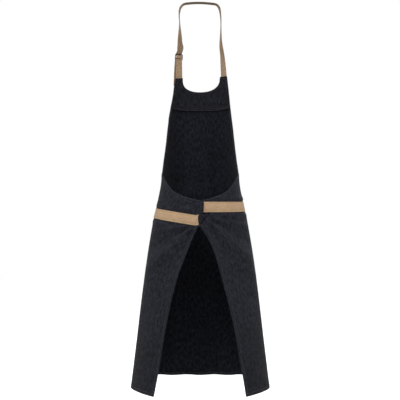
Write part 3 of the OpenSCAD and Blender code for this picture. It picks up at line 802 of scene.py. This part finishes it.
# ---- the apron's cloth
Z_BLEND = Z_BIB - 84
COLS = 261
U = np.linspace(-1, 1, COLS)
x_top = base(spread(U, Z_BIB - 1), Z_BIB - 1)[:, 0]
Z_rows = [top_z(x_top) * (1 - k) + Z_BLEND * k for k in np.linspace(0, 1, 26)[:-1]]
z = Z_BLEND
for end, step in ((Z_ARM, 3.2), (Z_WAIST + 42, 2.6), (Z_WAIST + 32, 1.4), (Z_WAIST + 23, 0.55), (Z_WAIST - 6, 2.0),
                  (Z_WAIST - 16, 0.9), (Z_SLIT, 2.0), (Z_SLIT - 60, 2.4), (Z_HEM, 3.3)):
    steps = max(1, int(round((z - end) / step)))
    Z_rows += [np.full(COLS, v) for v in np.linspace(z, end, steps, endpoint=False)]
    z = end
Z_rows.append(np.full(COLS, Z_HEM))
L_rows = [spread(U, z) for z in Z_rows]
L, Z = np.array(L_rows), np.array(Z_rows)
D = drape(L, Z)
outer = at(L, Z, CLOTH / 2, D).reshape(-1, 3)
inner = at(L, Z, -CLOTH / 2, D).reshape(-1, 3)
uv = path_of(L.ravel(), Z.ravel())
quads = grid_quads(len(L), COLS)
mid = outer[quads].mean(1)
part = np.zeros(len(quads), int)
for side in (-1, 1):
    on = (beyond_fold(mid, side) > -BLEND_BACK) & (side * mid[:, 0] > 0) & (mid[:, 1] < SIDE_Y - 6) & (
        mid[:, 2] < Z_CORNER + 45)
    part[on] = side

cloth_obj = layered("apron_cloth", outer, inner, quads[part == 0], M_CLOTH, uv, M_INNER)
place(cloth_obj, "apron", "apron_panel")
for side, nm in SIDES:
    ob = layered(f"hem_corner_{nm}", outer, inner, quads[part == side], M_CLOTH, uv, M_INNER)
    blend_corner(ob, side)
    place(ob, node=f"{nm}_hem_corner")

# ---- hems
HEM_W = 9.0
HEM_STEP = 3.0
HEM_PROFILE = [(HEM_W + 1.6, 0.42), (HEM_W - 0.6, 0.62), (1.2, 0.7), (0.2, 0.6), (-0.4, 0.2), (-0.5, -0.4),
               (-0.1, -1.1), (0.7, -1.45), (HEM_W - 0.6, -1.4), (HEM_W + 0.4, -1.0), (HEM_W + 0.6, -0.4)]
hem_pieces = {0: [], -1: [], 1: []}


def inward(path, sign):
    t = np.gradient(path, axis=0)
    for _ in range(2):
        t[1:-1] = (t[:-2] + 2 * t[1:-1] + t[2:]) / 4
    t = unit(t)
    return np.stack([-t[:, 1], t[:, 0]], -1) * sign


def hem_band(name, path, sign, group=0, profile=HEM_PROFILE, offset=7.4, inner_off=-1.47, mat=M_PLAIN):
    """A turned hem along an edge of the cloth, as a path of (length, height), with its stitching."""
    path = resample(np.asarray(path, float), HEM_STEP)
    n = inward(path, sign)
    rings = np.stack([at(*(path + n * a).T, b) for a, b in profile], 1)
    ob = tube_grid(name, rings, mat, uv_grid([a for a, _ in profile], np.arange(len(path)) * HEM_STEP))
    q = (path + n * offset).T
    sew(*q, 0.66, group=group)
    sew(*q, inner_off, -1, group)
    hem_pieces[group].append(ob)


def edge_at(side, z):
    return path_of(side * cloth_end(side, z), z)


HEM_Z = Z_HEM + 0.6
cut = {}
for side, nm in SIDES:
    z0, z1 = Z_rows[0][0 if side < 0 else -1] - 0.5, Z_ARM + 4
    arm = edge_at(side, np.linspace(z0, z1, int((z0 - z1) / 1.5)))
    wrap = edge_at(side, np.concatenate([np.linspace(Z_ARM + 2, Z_WAIST + 33, 50),
                                         np.linspace(Z_WAIST + 32.6, Z_WAIST + 25.6, 40)]))
    if side > 0:
        wrap = wrap[wrap[:, 0] < cloth_end(side, Z_WAIST + 27.4)]
    hem_band(f"armhole_hem_{nm}", np.concatenate([arm, wrap]), -side, mat=M_HEM)
    # the short end and the slit's edge
    edge = edge_at(side, np.linspace(Z_WAIST + 23 if side < 0 else Z_WAIST - 14.5, Z_HEM + 1.5, 330))
    pts = at(*edge.T)
    k = int(np.argmax((beyond_fold(pts, side) > -BLEND_BACK) & (pts[:, 2] < Z_CORNER + 40)))
    hem_band(f"slit_hem_{nm}", edge[: k + 1], -side)
    hem_band(f"slit_hem_{nm}_corner", edge[k:], -side, group=side)
    # the hem's corner
    l_end = cloth_end(side, Z_HEM)
    edge = path_of(side * np.linspace(l_end - 1.5, l_end - 110, 80), HEM_Z)
    k = int(np.argmin(np.abs(beyond_fold(at(*edge.T), side) + BLEND_BACK)))
    hem_band(f"hem_{nm}_corner", edge[: k + 1], -side, group=side)
    cut[side] = edge[k, 0]
hem_band("bottom_hem", path_of(np.linspace(cut[-1], cut[1], 400), HEM_Z), 1)

# the faced edge of the neck scoop and the tabs
scoop = np.stack([L_rows[0], Z_rows[0] - 0.2], -1)[1:-1]
scoop_profile = [(2.6, 0.4), (2.2, 0.75), (0.5, 0.8), (-0.45, 0.3), (-0.55, -0.8), (0.2, -1.9), (2.2, -1.95),
                 (2.7, -1.4)]
hem_band("neck_edge", scoop, -1, profile=scoop_profile, offset=5.2, inner_off=-2.15)

# ---- the bib's facing
FACING_COLS, FACING_FLAT_ROWS = 121, 35
facing_u = np.linspace(-0.982, 0.982, FACING_COLS)
facing_k = np.concatenate([np.linspace(0, 0.968, FACING_FLAT_ROWS), [0.976, 0.983, 0.989, 0.994, 1.0]])
xb = base(spread(facing_u, Z_BIB - 1), Z_BIB - 1)[:, 0]
seam_z = Z_BIB - FACING_DROP - 3.5 * (1 - (xb / BIB_HALF) ** 2)
FZ = np.array([(top_z(xb) - 0.6) * (1 - k) + seam_z * k for k in facing_k])
FL = np.array([spread(facing_u, z) for z in FZ])
FD = drape(FL, FZ)


def facing_lift(k):
    """How far the facing stands off the bib: it leaves it near the hem, whose lower edge rolls back under."""
    return 0.8 + 3.4 * smooth(0.88, 0.972, k) - 3.2 * smooth(0.972, 1.0, k) + 0.5 * ridge(k - 0.8, 0.07)


lift = facing_lift(facing_k)[:, None]
f_near = at(FL, FZ, 0, FD - lift - 0.9).reshape(-1, 3)
f_far = at(FL, FZ, 0, FD - lift).reshape(-1, 3)
facing = layered("bib_facing_cloth", f_far, f_near, grid_quads(len(facing_k), FACING_COLS), M_FACING,
                 path_of(FL.ravel(), FZ.ravel()))
# the facing's lowest rows take the darker copy: painted shade under its lifted edge
facing.data.materials.append(M_EDGE_SHADE)
for poly in facing.data.polygons:
    if min(v % FL.size // FACING_COLS for v in poly.vertices) >= FACING_FLAT_ROWS:
        poly.material_index = 1
place(facing, "apron", "bib_facing")
for drop in (9.0, 3.0):
    sew(FL[-1], FZ[-1] + drop, -(facing_lift(1 - drop / FACING_DROP) + 1.35), -1)
zz = np.linspace(Z_BIB - 5, Z_BIB - FACING_DROP + 2, 60)
for g in (-1, 1):
    sew(g * 58.5, zz, -1.95, -1)
    sew(g * 58.5, zz, 0.75)
sew(FL[-1], FZ[-1] + 9.0, 0.75)

# ---- the patch pocket
POC_ROWS, POC_COLS = 56, 131
mu = np.linspace(-1, 1, POC_COLS)


def pocket_off(u, t):
    """How far the pocket's cloth stands off the skirt."""
    q = np.abs(u)
    o = POC_OPEN * np.maximum(0, 1 - t) ** 0.7 * np.maximum(0, np.sin(np.pi * np.clip(q, 0, 1))) ** 0.42
    sag = 0.8 * noise(u * 4 + 3, t * 4) + 0.35 * noise(u * 11, t * 9 + 7)
    return CLOTH / 2 + 0.6 + o * (1 + 0.05 * noise(u * 3, t * 3)) + sag * np.minimum(1, o / 3)


def pocket_lz(u, t):
    return u * POC_HALF * 1.01, Z_POC - t * POC_H


def on_pocket(u, t, off):
    """Points off the pocket's inner layer, u across it from -1 to 1 and t down it from 0 to 1."""
    u, t = np.broadcast_arrays(np.asarray(u, float), np.asarray(t, float))
    l, z = pocket_lz(u, t)
    o = pocket_off(u, t)
    return at(l, z, 0, drape(l, z) * np.clip(1 - o / 12, 0.2, 1) + o + off)


def sew_pocket(u, t, off, group=0, **size):
    a = on_pocket(u + 0.02, t, 0) - on_pocket(u - 0.02, t, 0)
    b = on_pocket(u, t - 0.02, 0) - on_pocket(u, t + 0.02, 0)
    stitch_line(group, on_pocket(u, t, off), unit(np.cross(b, a)), **size)


PU, PT = np.meshgrid(mu, np.linspace(0, 1, POC_ROWS))
pocket = layered("patch_pocket_cloth", on_pocket(PU, PT, CLOTH).reshape(-1, 3), on_pocket(PU, PT, 0).reshape(-1, 3),
                 grid_quads(POC_ROWS, POC_COLS), M_CLOTH, path_of(*pocket_lz(PU.ravel(), PT.ravel())), M_INNER)
place(pocket, "apron", "patch_pocket")

# a turned band along the pocket's mouth
rings = [on_pocket(mu, a, b) for a, b in (
    (0.13, 1.1), (0.126, 1.5), (0.012, 1.6), (-0.004, 1.0), (-0.005, 0.0), (0.002, -0.9), (0.12, -0.9), (0.128, -0.2))]
mouth = tube_grid("pocket_mouth_hem", np.stack(rings, 1), M_HEM,
                  uv_grid(np.arange(len(rings)) * 3.0, np.arange(POC_COLS) * 1.6))
place(mouth, "apron")
sew_pocket(mu, 0.112, 1.55)
tt = np.linspace(0.02, 0.985, 90)
for u0 in (-0.985, 0.985, -0.955, 0.955, -0.012, 0.012):
    sew_pocket(u0, tt, CLOTH + 0.15)
for t0 in (0.985, 0.95):
    sew_pocket(mu * 0.975, t0, CLOTH + 0.15)

# bar tacks at the corners of the mouth
for u0, w, length in ((-0.965, 0.026, 4.2), (0.0, 0.034, 5.4), (0.965, 0.026, 4.2)):
    for k in range(7):
        sew_pocket(np.linspace(u0 - w, u0 + w, 6), 0.008 + 0.006 * k, CLOTH + 0.9, "tacks", length=length, gap=0.3)

# ---- waist ties
for side, nm in SIDES:
    zc, end_x, sewn_x = (Z_TIE_L, 3.4, 6.4) if side < 0 else (Z_TIE_R, 4.0, 8.6)
    back_end = length_at(end_x, zc)
    l = side * np.append(np.arange(8.0, back_end, 3.0), back_end)
    zz = tie_z(l, side)
    off = CLOTH / 2 + TIE_T / 2 + 0.15
    # the sewn end lies flat over the folds
    lifted = drape(l, zz)
    lifted = np.where(np.abs(l) > back_end - 16, np.minimum(lifted, 0.9), lifted)
    pts = at(l, zz, off, lifted)
    wd = at(l, zz + 6, off, lifted) - at(l, zz - 6, off, lifted)
    place(webbing(f"waist_tie_{nm}_webbing", pts, wd, TIE_W, TIE_T, M_TIE), "apron",
                           f"waist_tie_{nm}")
    # the row of stitches that closes the tie's sewn end
    zs = zc + np.linspace(-TIE_W / 2 + 2, TIE_W / 2 - 2, 14)
    flat = np.full(14, float(np.median(lifted[-6:-3])))
    for inset in (3.4, 5.4):
        l_row = side * (length_at(sewn_x, zc) - inset + 1.0)
        stitch_line("tan", at(l_row, zs, off + TIE_T / 2 + 0.1, flat), normal(l_row, zs))

# ---- the bow at the front
y_knot = float(front_y(Z_KNOT)) + 0.7 + 0.3 + TIE_T + 9.5
# the knot: webbing wrapped over the crossed ties
KNOT_TURNS, KNOT_COLS = 48, 15
rings = []
for a in np.linspace(0, 2 * math.pi, KNOT_TURNS + 1)[:-1]:
    c, s = math.cos(a), math.sin(a)
    ring_out = []
    for k in range(KNOT_COLS):
        v = -1 + 2 * k / (KNOT_COLS - 1)
        pinch = 1 - 0.10 * abs(v) ** 3
        crease = 0.5 * math.sin(v * 7 + 0.5 * math.sin(2 * a)) * (1 - v * v)
        ry, rz = (9.0 + crease) * pinch, (14.4 + crease) * pinch
        ring_out.append((v * 12.5 * (1 + 0.06 * c), y_knot + ry * c, Z_KNOT + rz * s))
    for k in range(KNOT_COLS):
        v = 1 - 2 * k / (KNOT_COLS - 1)
        ring_out.append((v * 12.1 * (1 + 0.06 * c), y_knot + 7.2 * c, Z_KNOT + 12.6 * s))
    rings.append(ring_out)
rings = np.array(rings)
knot_uv = uv_grid(np.concatenate([np.linspace(-13, 13, KNOT_COLS), np.linspace(13, -13, KNOT_COLS)]),
                  np.arange(KNOT_TURNS) * 1.6)
knot = tube_grid("knot_webbing", rings, M_TIE, knot_uv, caps=False)
place(knot, "apron", "tie_knot")

TAIL_L = 215.0
for g, nm in SIDES:
    # one loop: out along the front and back behind, gathered where it enters the knot
    keys = [(1, 2.0, 0), (9, 4.2, 0), (24, 8.6, -0.5), (46, 11.0, -2), (68, 9.8, -4), (82, 5.6, -5.5), (86.5, 0.6, -6),
            (82, -4.0, -5.2), (66, -6.4, -3.5), (44, -6.0, -1.5), (22, -4.4, 0), (9, -2.6, 0), (1, -1.6, 0)]
    k = resample(spline(keys, 6), 2.2)
    droop, yaw = math.radians(10), math.radians(3)
    x = k[:, 0]
    pts = np.stack([g * (12 + x * math.cos(droop) - 9), y_knot + 2.5 + k[:, 1] - x * math.sin(yaw),
                    Z_KNOT + k[:, 2] - x * math.sin(droop)], -1)
    wd = np.tile([g * math.sin(droop), 0.0, math.cos(droop)], (len(pts), 1))
    taper = 0.58 + 0.42 * smooth(2, 26, x)
    ob = webbing(f"bow_loop_{nm}_webbing", pts, wd, TIE_W, TIE_T, M_TIE, taper)
    place(ob, "apron", f"bow_loop_{nm}")
    # the loose end below
    y0, z0, xk = y_knot + 2, Z_KNOT - 19, g * 14.5
    keys = [(xk * 0.55, y0 - 3.5, z0 + 12), (xk * 0.9, y0 - 0.5, z0 + 3), (xk + g * 1.4, y0 + 4.6, z0 - 0.12 * TAIL_L),
            (xk + g * 3, y0 + 9, z0 - 0.25 * TAIL_L), (xk + g * 8, y0 + 17, z0 - 0.55 * TAIL_L),
            (xk + g * 11, y0 + 26, z0 - 0.8 * TAIL_L), (xk + g * 14, y0 + 31.5, z0 - 0.993 * TAIL_L)]
    pts = resample(spline(keys, 8), 3.0)
    drop = (z0 - pts[:, 2]) / TAIL_L
    pts[:, 1] += 1.1 * np.sin(drop * 9 + g) * smooth(0.1, 0.4, drop)
    wd = np.stack([np.ones(len(pts)), -0.12 * g + 0.1 * np.sin(drop * 5 + g), np.zeros(len(pts))], -1)
    taper = 0.62 + 0.38 * smooth(-0.05, 0.10, drop)
    ob = webbing(f"tie_tail_{nm}_webbing", pts, wd, TIE_W, TIE_T, M_TIE, taper)
    body = f"tail_{nm}"
    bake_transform(ob)
    place(ob, node=f"tie_tail_{nm}")
    # the turned and stitched tip
    tan = pts[-1] - pts[-8]
    tan /= np.linalg.norm(tan)
    a = wd[-1] - (wd[-1] @ tan) * tan
    a /= np.linalg.norm(a)
    n = np.cross(a, tan) * (1 if np.cross(a, tan)[1] > 0 else -1)
    for up in (6.0, 9.0):
        c = pts[-1] - tan * up
        line = c + a[None] * np.linspace(-11.5, 11.5, 12)[:, None] + n * (TIE_T / 2 + 0.1)
        stitch_line("tip" + nm, line, np.tile(n, (12, 1)))

# ---- the neck strap
x_tab = BIB_HALF - 10.5
SEWN = 34.0
Z_BAR, PITCH, BAR, TAB_X, ALONG = -129.0, 8.6, 2.6, 61.8, 2.5
tilt_axis = JOINTS["slider_tilt"]["axis"]
turn = math.atan2(-tilt_axis[1], -tilt_axis[0])
# the slider sits a little along its own bar from the joint's middle, to meet the tab that is pulled inwards
SLIDER_X = JOINTS["slider_tilt"]["pos_m"][0] / MM + ALONG * math.cos(turn)
y_bar = JOINTS["slider_tilt"]["pos_m"][1] / MM + ALONG * math.sin(turn)
lean = math.radians(8)


def on_bib(x, z, off):
    """A point off the bib's outer face with the face's turn, as the strap keys want it."""
    l = front_length(x, z)
    n = normal(l, z)
    p = base(l, z) + n * (float(drape(l, z)) + CLOTH / 2 + off)
    return (float(p[0]), float(p[1]), z, math.degrees(math.atan2(abs(n[0]), n[1])))


def turned(x, y, z):
    """A point of the slider's own upright layout, turned with the left tab."""
    x = x - SLIDER_X
    return (SLIDER_X + x * math.cos(turn) - (y - y_bar) * math.sin(turn),
            y_bar + x * math.sin(turn) + (y - y_bar) * math.cos(turn), z)


def leaning(x, y, z):
    """The same for a point given from the lower bar's middle, leant towards the wearer."""
    return turned(SLIDER_X + x, y_bar + y * math.cos(lean) - z * math.sin(lean),
                  Z_BAR + y * math.sin(lean) + z * math.cos(lean))


tdeg = math.degrees(turn)
y_top = on_bib(x_tab, Z_BIB - 1, 0)[1]
neck_keys = [
    on_bib(x_tab, Z_BIB - SEWN, 1.15), on_bib(x_tab, Z_BIB - 16, 1.15), on_bib(x_tab, Z_BIB - 1, 1.2),
    (x_tab - 1.6, y_top - 0.2, Z_BIB + 32, 42), (x_tab - 4, 152, Z_BIB + 62, 56),
    (x_tab - 7.5, 140, Z_BIB + 85, 68), (x_tab - 9, 121, Z_BIB + 106, 82),
    (x_tab - 10, 82, Z_BIB + 139, 90), (x_tab - 12.8, 44, Z_BIB + 159, 90), (x_tab - 18, 20, Z_BIB + 171.5, 90),
    (x_tab - 26.5, 7, Z_BIB + 177.4, 90), (x_tab - 41, 1.5, -0.9, 90), (0, 0, 0.7, 90), (-x_tab + 41, 1.5, 0.1, 90),
    (-x_tab + 25, 7, Z_BIB + 178.3, 90), (-x_tab + 15.5, 20, Z_BIB + 172, 90), (-x_tab + 10.8, 44, Z_BIB + 160, 90),
    (-x_tab + 9.8, 82, Z_BIB + 139, 88), (-x_tab + 9.5, 118, Z_BIB + 108, 67), (-x_tab + 9.8, 138, Z_BIB + 90, 56),
    (-x_tab + 10.4, 153, Z_BIB + 82, 48), (SLIDER_X + 2.6, y_bar - 3.2, Z_BAR + 2 * PITCH + 6.5, 40)]
r_w = BAR / 2 + 0.35 + NECK_T / 2
zc, zt = PITCH, 2 * PITCH
weave = [(r_w, zt - 0.5), (0.9, zt - 3.3), (-r_w * 0.8, zc + 2.3), (-r_w, zc), (-r_w * 0.8, zc - 2.3), (1.2, 4.4),
         (3.7, 1.9)]
keys = neck_keys + [(*leaning(0, y, z), tdeg) for y, z in weave]
k = spline(keys, 7)
split = int(np.argmax((k[:, 0] < 0) & (k[:, 2] < Z_BIB + 105)))


def strap_dir(k):
    a = np.radians(k[:, 3])
    g = np.where(k[:, 0] >= 0, 1, -1)
    rise = 0.07 - 0.03 * smooth(60, 20, k[:, 1])
    return np.stack([g * np.cos(a), -0.998 * np.sin(a), rise * np.sin(a)], -1)


upper = resample(k[: split + 1], 2.5)
run = run_along(upper[:, :3]) * MM
middle = float(np.interp(0, -upper[:, 0], run))
# the strap's run round the nape is darkened in its colour: painted shade
M_NAPE = web_mat("webbing_neck_painted_shade", NECK_TAN, nape=(middle, 0.044))
neck_upper = place(webbing("neck_strap_webbing", upper[:, :3], strap_dir(upper), NECK_W, NECK_T, M_NAPE),
                   "apron", "neck_strap")
lower = k[split:]
neck_lower = webbing("neck_strap_lower_webbing", lower[:, :3], strap_dir(lower), NECK_W, NECK_T, M_NECK)
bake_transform(neck_lower)
place(neck_lower, node="neck_strap_weave")

# the loose end
y0, z0 = y_bar + 5.4, Z_BAR - 1.6
NECK_TAIL_L = 74.0
across = np.array([math.cos(turn), math.sin(turn), 0])
keys = [(y0 - 1.2, z0 + 1.4), (y0, z0 - 1.2), (y0 + 3, z0 - 0.3 * NECK_TAIL_L), (y0 + 5.5, z0 - 0.65 * NECK_TAIL_L),
        (y0 + 8.0, z0 - 0.99 * NECK_TAIL_L)]
pts = resample(spline([turned(SLIDER_X - 0.5, y, z) for y, z in keys], 8), 2.5)
neck_tail = place(webbing("neck_tail_webbing", pts, np.tile(across, (len(pts), 1)), NECK_W, NECK_T, M_NECK),
                  "neck_tail", "neck_strap_tail")
out = np.array([-math.sin(turn), math.cos(turn), 0.1])
for up in (5.0, 8.0):
    c = pts[-1] + np.array([0, 0, up]) + out * 0.4
    stitch_line("necktip", c + across[None] * np.linspace(-8, 8, 9)[:, None], np.tile(out, (9, 1)))


def face_y(z):
    return y_bar + (on_bib(-TAB_X, z, 0)[1] - y_bar) * math.cos(turn) + 1.05


# the anchor strap, doubled round the slider's lower bar
k1 = [(face_y(Z_BIB - 12) + 1.6, Z_BIB - 12), (face_y(Z_BIB - 4) + 1.6, Z_BIB + 2), (y_bar + 0.9, Z_BAR - 18),
      (y_bar + r_w, Z_BAR - 4.5), (y_bar + r_w, Z_BAR)]
arc = [(y_bar + r_w * math.cos(math.radians(a)), Z_BAR + r_w * math.sin(math.radians(a))) for a in range(20, 161, 20)]
k2 = [(y_bar - r_w, Z_BAR), (y_bar - r_w, Z_BAR - 4.5), (y_bar - r_w - 0.6, Z_BAR - 18), (face_y(Z_BIB - 4), Z_BIB + 2),
      (face_y(Z_BIB - 12), Z_BIB - 12), (face_y(Z_BIB - SEWN), Z_BIB - SEWN)]
k1, arc, k2 = ([turned(SLIDER_X, y, z) for y, z in keys] for keys in (k1, arc, k2))
path = np.concatenate([spline(k1, 6), arc, spline(k2, 6)])
anchor = place(webbing("anchor_strap_webbing", path, np.tile(across, (len(path), 1)), NECK_W, NECK_T, M_NECK),
               "apron", "neck_anchor_strap")


# the slider: a rounded wire frame with a bar across its middle
def bar_tube(name, pts, r, closed):
    pts = np.asarray(pts, float)
    n = len(pts)
    tan = (np.roll(pts, -1, 0) - np.roll(pts, 1, 0)) if closed else np.gradient(pts, axis=0)
    tan /= np.linalg.norm(tan, axis=1, keepdims=True)
    up = np.array([-math.sin(turn) * math.cos(lean), math.cos(turn) * math.cos(lean), math.sin(lean)])
    b = np.cross(tan, up)
    b /= np.linalg.norm(b, axis=1, keepdims=True)
    rings = []
    for i in range(n):
        rr = r if closed or 0 < i < n - 1 else r * 0.96
        rings.append([pts[i] + rr * (b[i] * math.cos(t) + up * math.sin(t))
                      for t in np.linspace(0, 2 * math.pi, 17)[:-1]])
    return tube_grid(name, np.array(rings), M_METAL, caps=not closed)


w = NECK_W / 2 + 1.8
cr = 2.6
loop = []
for cx, cz, a0 in ((w - cr, 2 * PITCH - cr, 0), (-w + cr, 2 * PITCH - cr, 90), (-w + cr, cr, 180), (w - cr, cr, 270)):
    for a in range(0, 91, 15):
        t = math.radians(a0 + a)
        loop.append(leaning(cx + cr * math.cos(t), 0, cz + cr * math.sin(t)))
ring = bar_tube("slider_frame", loop, BAR * 0.44, True)
mid_bar = bar_tube("slider_middle_bar", [leaning(x, 0, PITCH) for x in np.linspace(-w, w, 9)], BAR * 0.42, False)
place(ring, "slider", "strap_slider")
place(mid_bar, "slider")


# box stitching where the straps are sewn to the tabs
def box_stitch(xc, zt, zb, off, half):
    z = np.array([zt, zb])
    for (ax, az), (bx, bz) in (((-1, 0), (1, 0)), ((1, 0), (1, 1)), ((1, 1), (-1, 1)), ((-1, 1), (-1, 0)),
                               ((-1, 0), (1, 1)), ((1, 0), (-1, 1))):
        n = 12
        xs = xc + half * np.linspace(ax, bx, n)
        zs = zt + (zb - zt) * np.linspace(az, bz, n)
        ls = np.array([front_length(x, z) for x, z in zip(xs, zs)])
        lc = front_length(xc, (zt + zb) / 2)
        nn = normal(np.full(n, lc), zs)
        flat = at(np.full(n, lc), zs, off)
        side = np.cross(nn, [0, 0, 1.0])
        side /= np.linalg.norm(side, axis=1, keepdims=True)
        run = (xs - xc) / abs(side[0, 0]) * np.sign(side[0, 0])
        stitch_line("tan", flat + side * (run * 0.84)[:, None], nn, length=2.5, gap=0.9)
        stitch_line("face", at(ls, zs, -2.15), -normal(ls, zs), length=2.5, gap=0.9)


box_stitch(x_tab, Z_BIB - 9, Z_BIB - SEWN + 3, CLOTH / 2 + 1.15 + NECK_T / 2 + 0.1, 7.4)
box_stitch(-TAB_X, Z_BIB - 15, Z_BIB - SEWN + 3, CLOTH / 2 + 1.05 + NECK_T / 2 + 0.1, 7.4)

# ---- thread
place(stitches_object("topstitching", 0, M_THREAD), "apron")
for side, nm in SIDES:
    ob = stitches_object(f"topstitching_{nm}_corner", side, M_THREAD)
    blend_corner(ob, side)
    place(stitches_object(f"tie_tip_stitches_{nm}", "tip" + nm, M_TAN_THREAD), f"tail_{nm}")
for nm, group, mat, body, node in (
    ("strap_box_stitches", "tan", M_TAN_THREAD, "apron", "box_stitches"),
    ("facing_box_stitches", "face", M_THREAD, "apron", None),
    ("pocket_bar_tacks", "tacks", M_THREAD, "apron", "bar_tacks"),
    ("neck_tip_stitches", "necktip", M_TAN_THREAD, "neck_tail", None),
):
    place(stitches_object(nm, group, mat), body, node)
for ob in hem_pieces[0]:
    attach(ob, "apron")
for side in (-1, 1):
    for ob in hem_pieces[side]:
        blend_corner(ob, side)

# ---- the cloth's width at the hem; the bow and tail webbing objects are looked up, and nothing is set on them
wide = 2 * float(cloth_end(1, Z_HEM)) * MM
for nm in ("bow_loop_left", "bow_loop_right", "tie_tail_left", "tie_tail_right"):
    ob = bpy.data.objects[nm + "_webbing"]

# ---- light and camera
world = bpy.data.worlds.new("studio")
bpy.context.scene.world = world
world.use_nodes = True
world_nodes = Nodes(world.node_tree)
studio = world_nodes.t.nodes["Background"]
height = world_nodes.xyz(world_nodes.node("ShaderNodeTexCoord").outputs["Generated"])[2]
world_nodes.link(world_nodes.map_range(height, -0.5, 0.9, 0.21, 0.70), studio.inputs["Strength"])
white = world_nodes.light("ShaderNodeBackground", 1.0)
for back in (studio, white.node):
    back.inputs["Color"].default_value = (1, 1, 1, 1)
world_nodes.link(world_nodes.for_camera(studio.outputs[0], white), world_nodes.t.nodes["World Output"].inputs[0])


def area(name, loc, aim, size, power):
    d = bpy.data.lights.new(name, "AREA")
    d.energy, d.size = power, size
    o = bpy.data.objects.new(name, d)
    bpy.context.collection.objects.link(o)
    o.location = loc
    o.rotation_euler = (Vector(aim) - Vector(loc)).to_track_quat("-Z", "Y").to_euler()


area("key", (-1.5, -2.3, 1.5), (0, 0, -0.5), 1.1, 48)
area("fill", (1.9, -1.6, 0.6), (0, 0, -0.5), 1.4, 15)
area("front", (1.0, 2.3, 1.1), (0, 0, -0.5), 1.4, 33)
area("top", (0, 0, 3.2), (0, 0, -1), 3.0, 64)

cam = bpy.data.cameras.new("camera")
cam_ob = bpy.data.objects.new("camera", cam)
bpy.context.collection.objects.link(cam_ob)
bpy.context.scene.camera = cam_ob
cam.lens, cam.sensor_width = 71.1, 36.0
cam_ob.location = (-0.0008, -2.192, -0.546)
cam_ob.rotation_euler = (math.radians(90), 0, 0)
bpy.context.scene.view_settings.view_transform = "Standard"

FLOOR_HALF, FLOOR_Z = 6, -1.38
floor_me = bpy.data.meshes.new("floor")
floor_me.from_pydata([(x * FLOOR_HALF, y * FLOOR_HALF, FLOOR_Z) for x, y in ((-1, -1), (1, -1), (1, 1), (-1, 1))],
                     [], [(0, 1, 2, 3)])
floor = bpy.data.objects.new("floor", floor_me)
bpy.context.collection.objects.link(floor)
mf = Mat("floor_pale")
mf.set(Base_Color=(0.62, 0.62, 0.62, 1), Roughness=0.95, Specular_IOR_Level=0.1)
both = mf.node("ShaderNodeAddShader")
glow = mf.for_camera(mf.light("ShaderNodeEmission", 0.02), mf.light("ShaderNodeEmission", 0.66))
for shader, socket in zip((mf.p.outputs[0], glow), both.inputs):
    mf.link(shader, socket)
mf.link(both.outputs[0], mf.t.nodes["Material Output"].inputs[0])
floor_me.materials.append(mf.m)
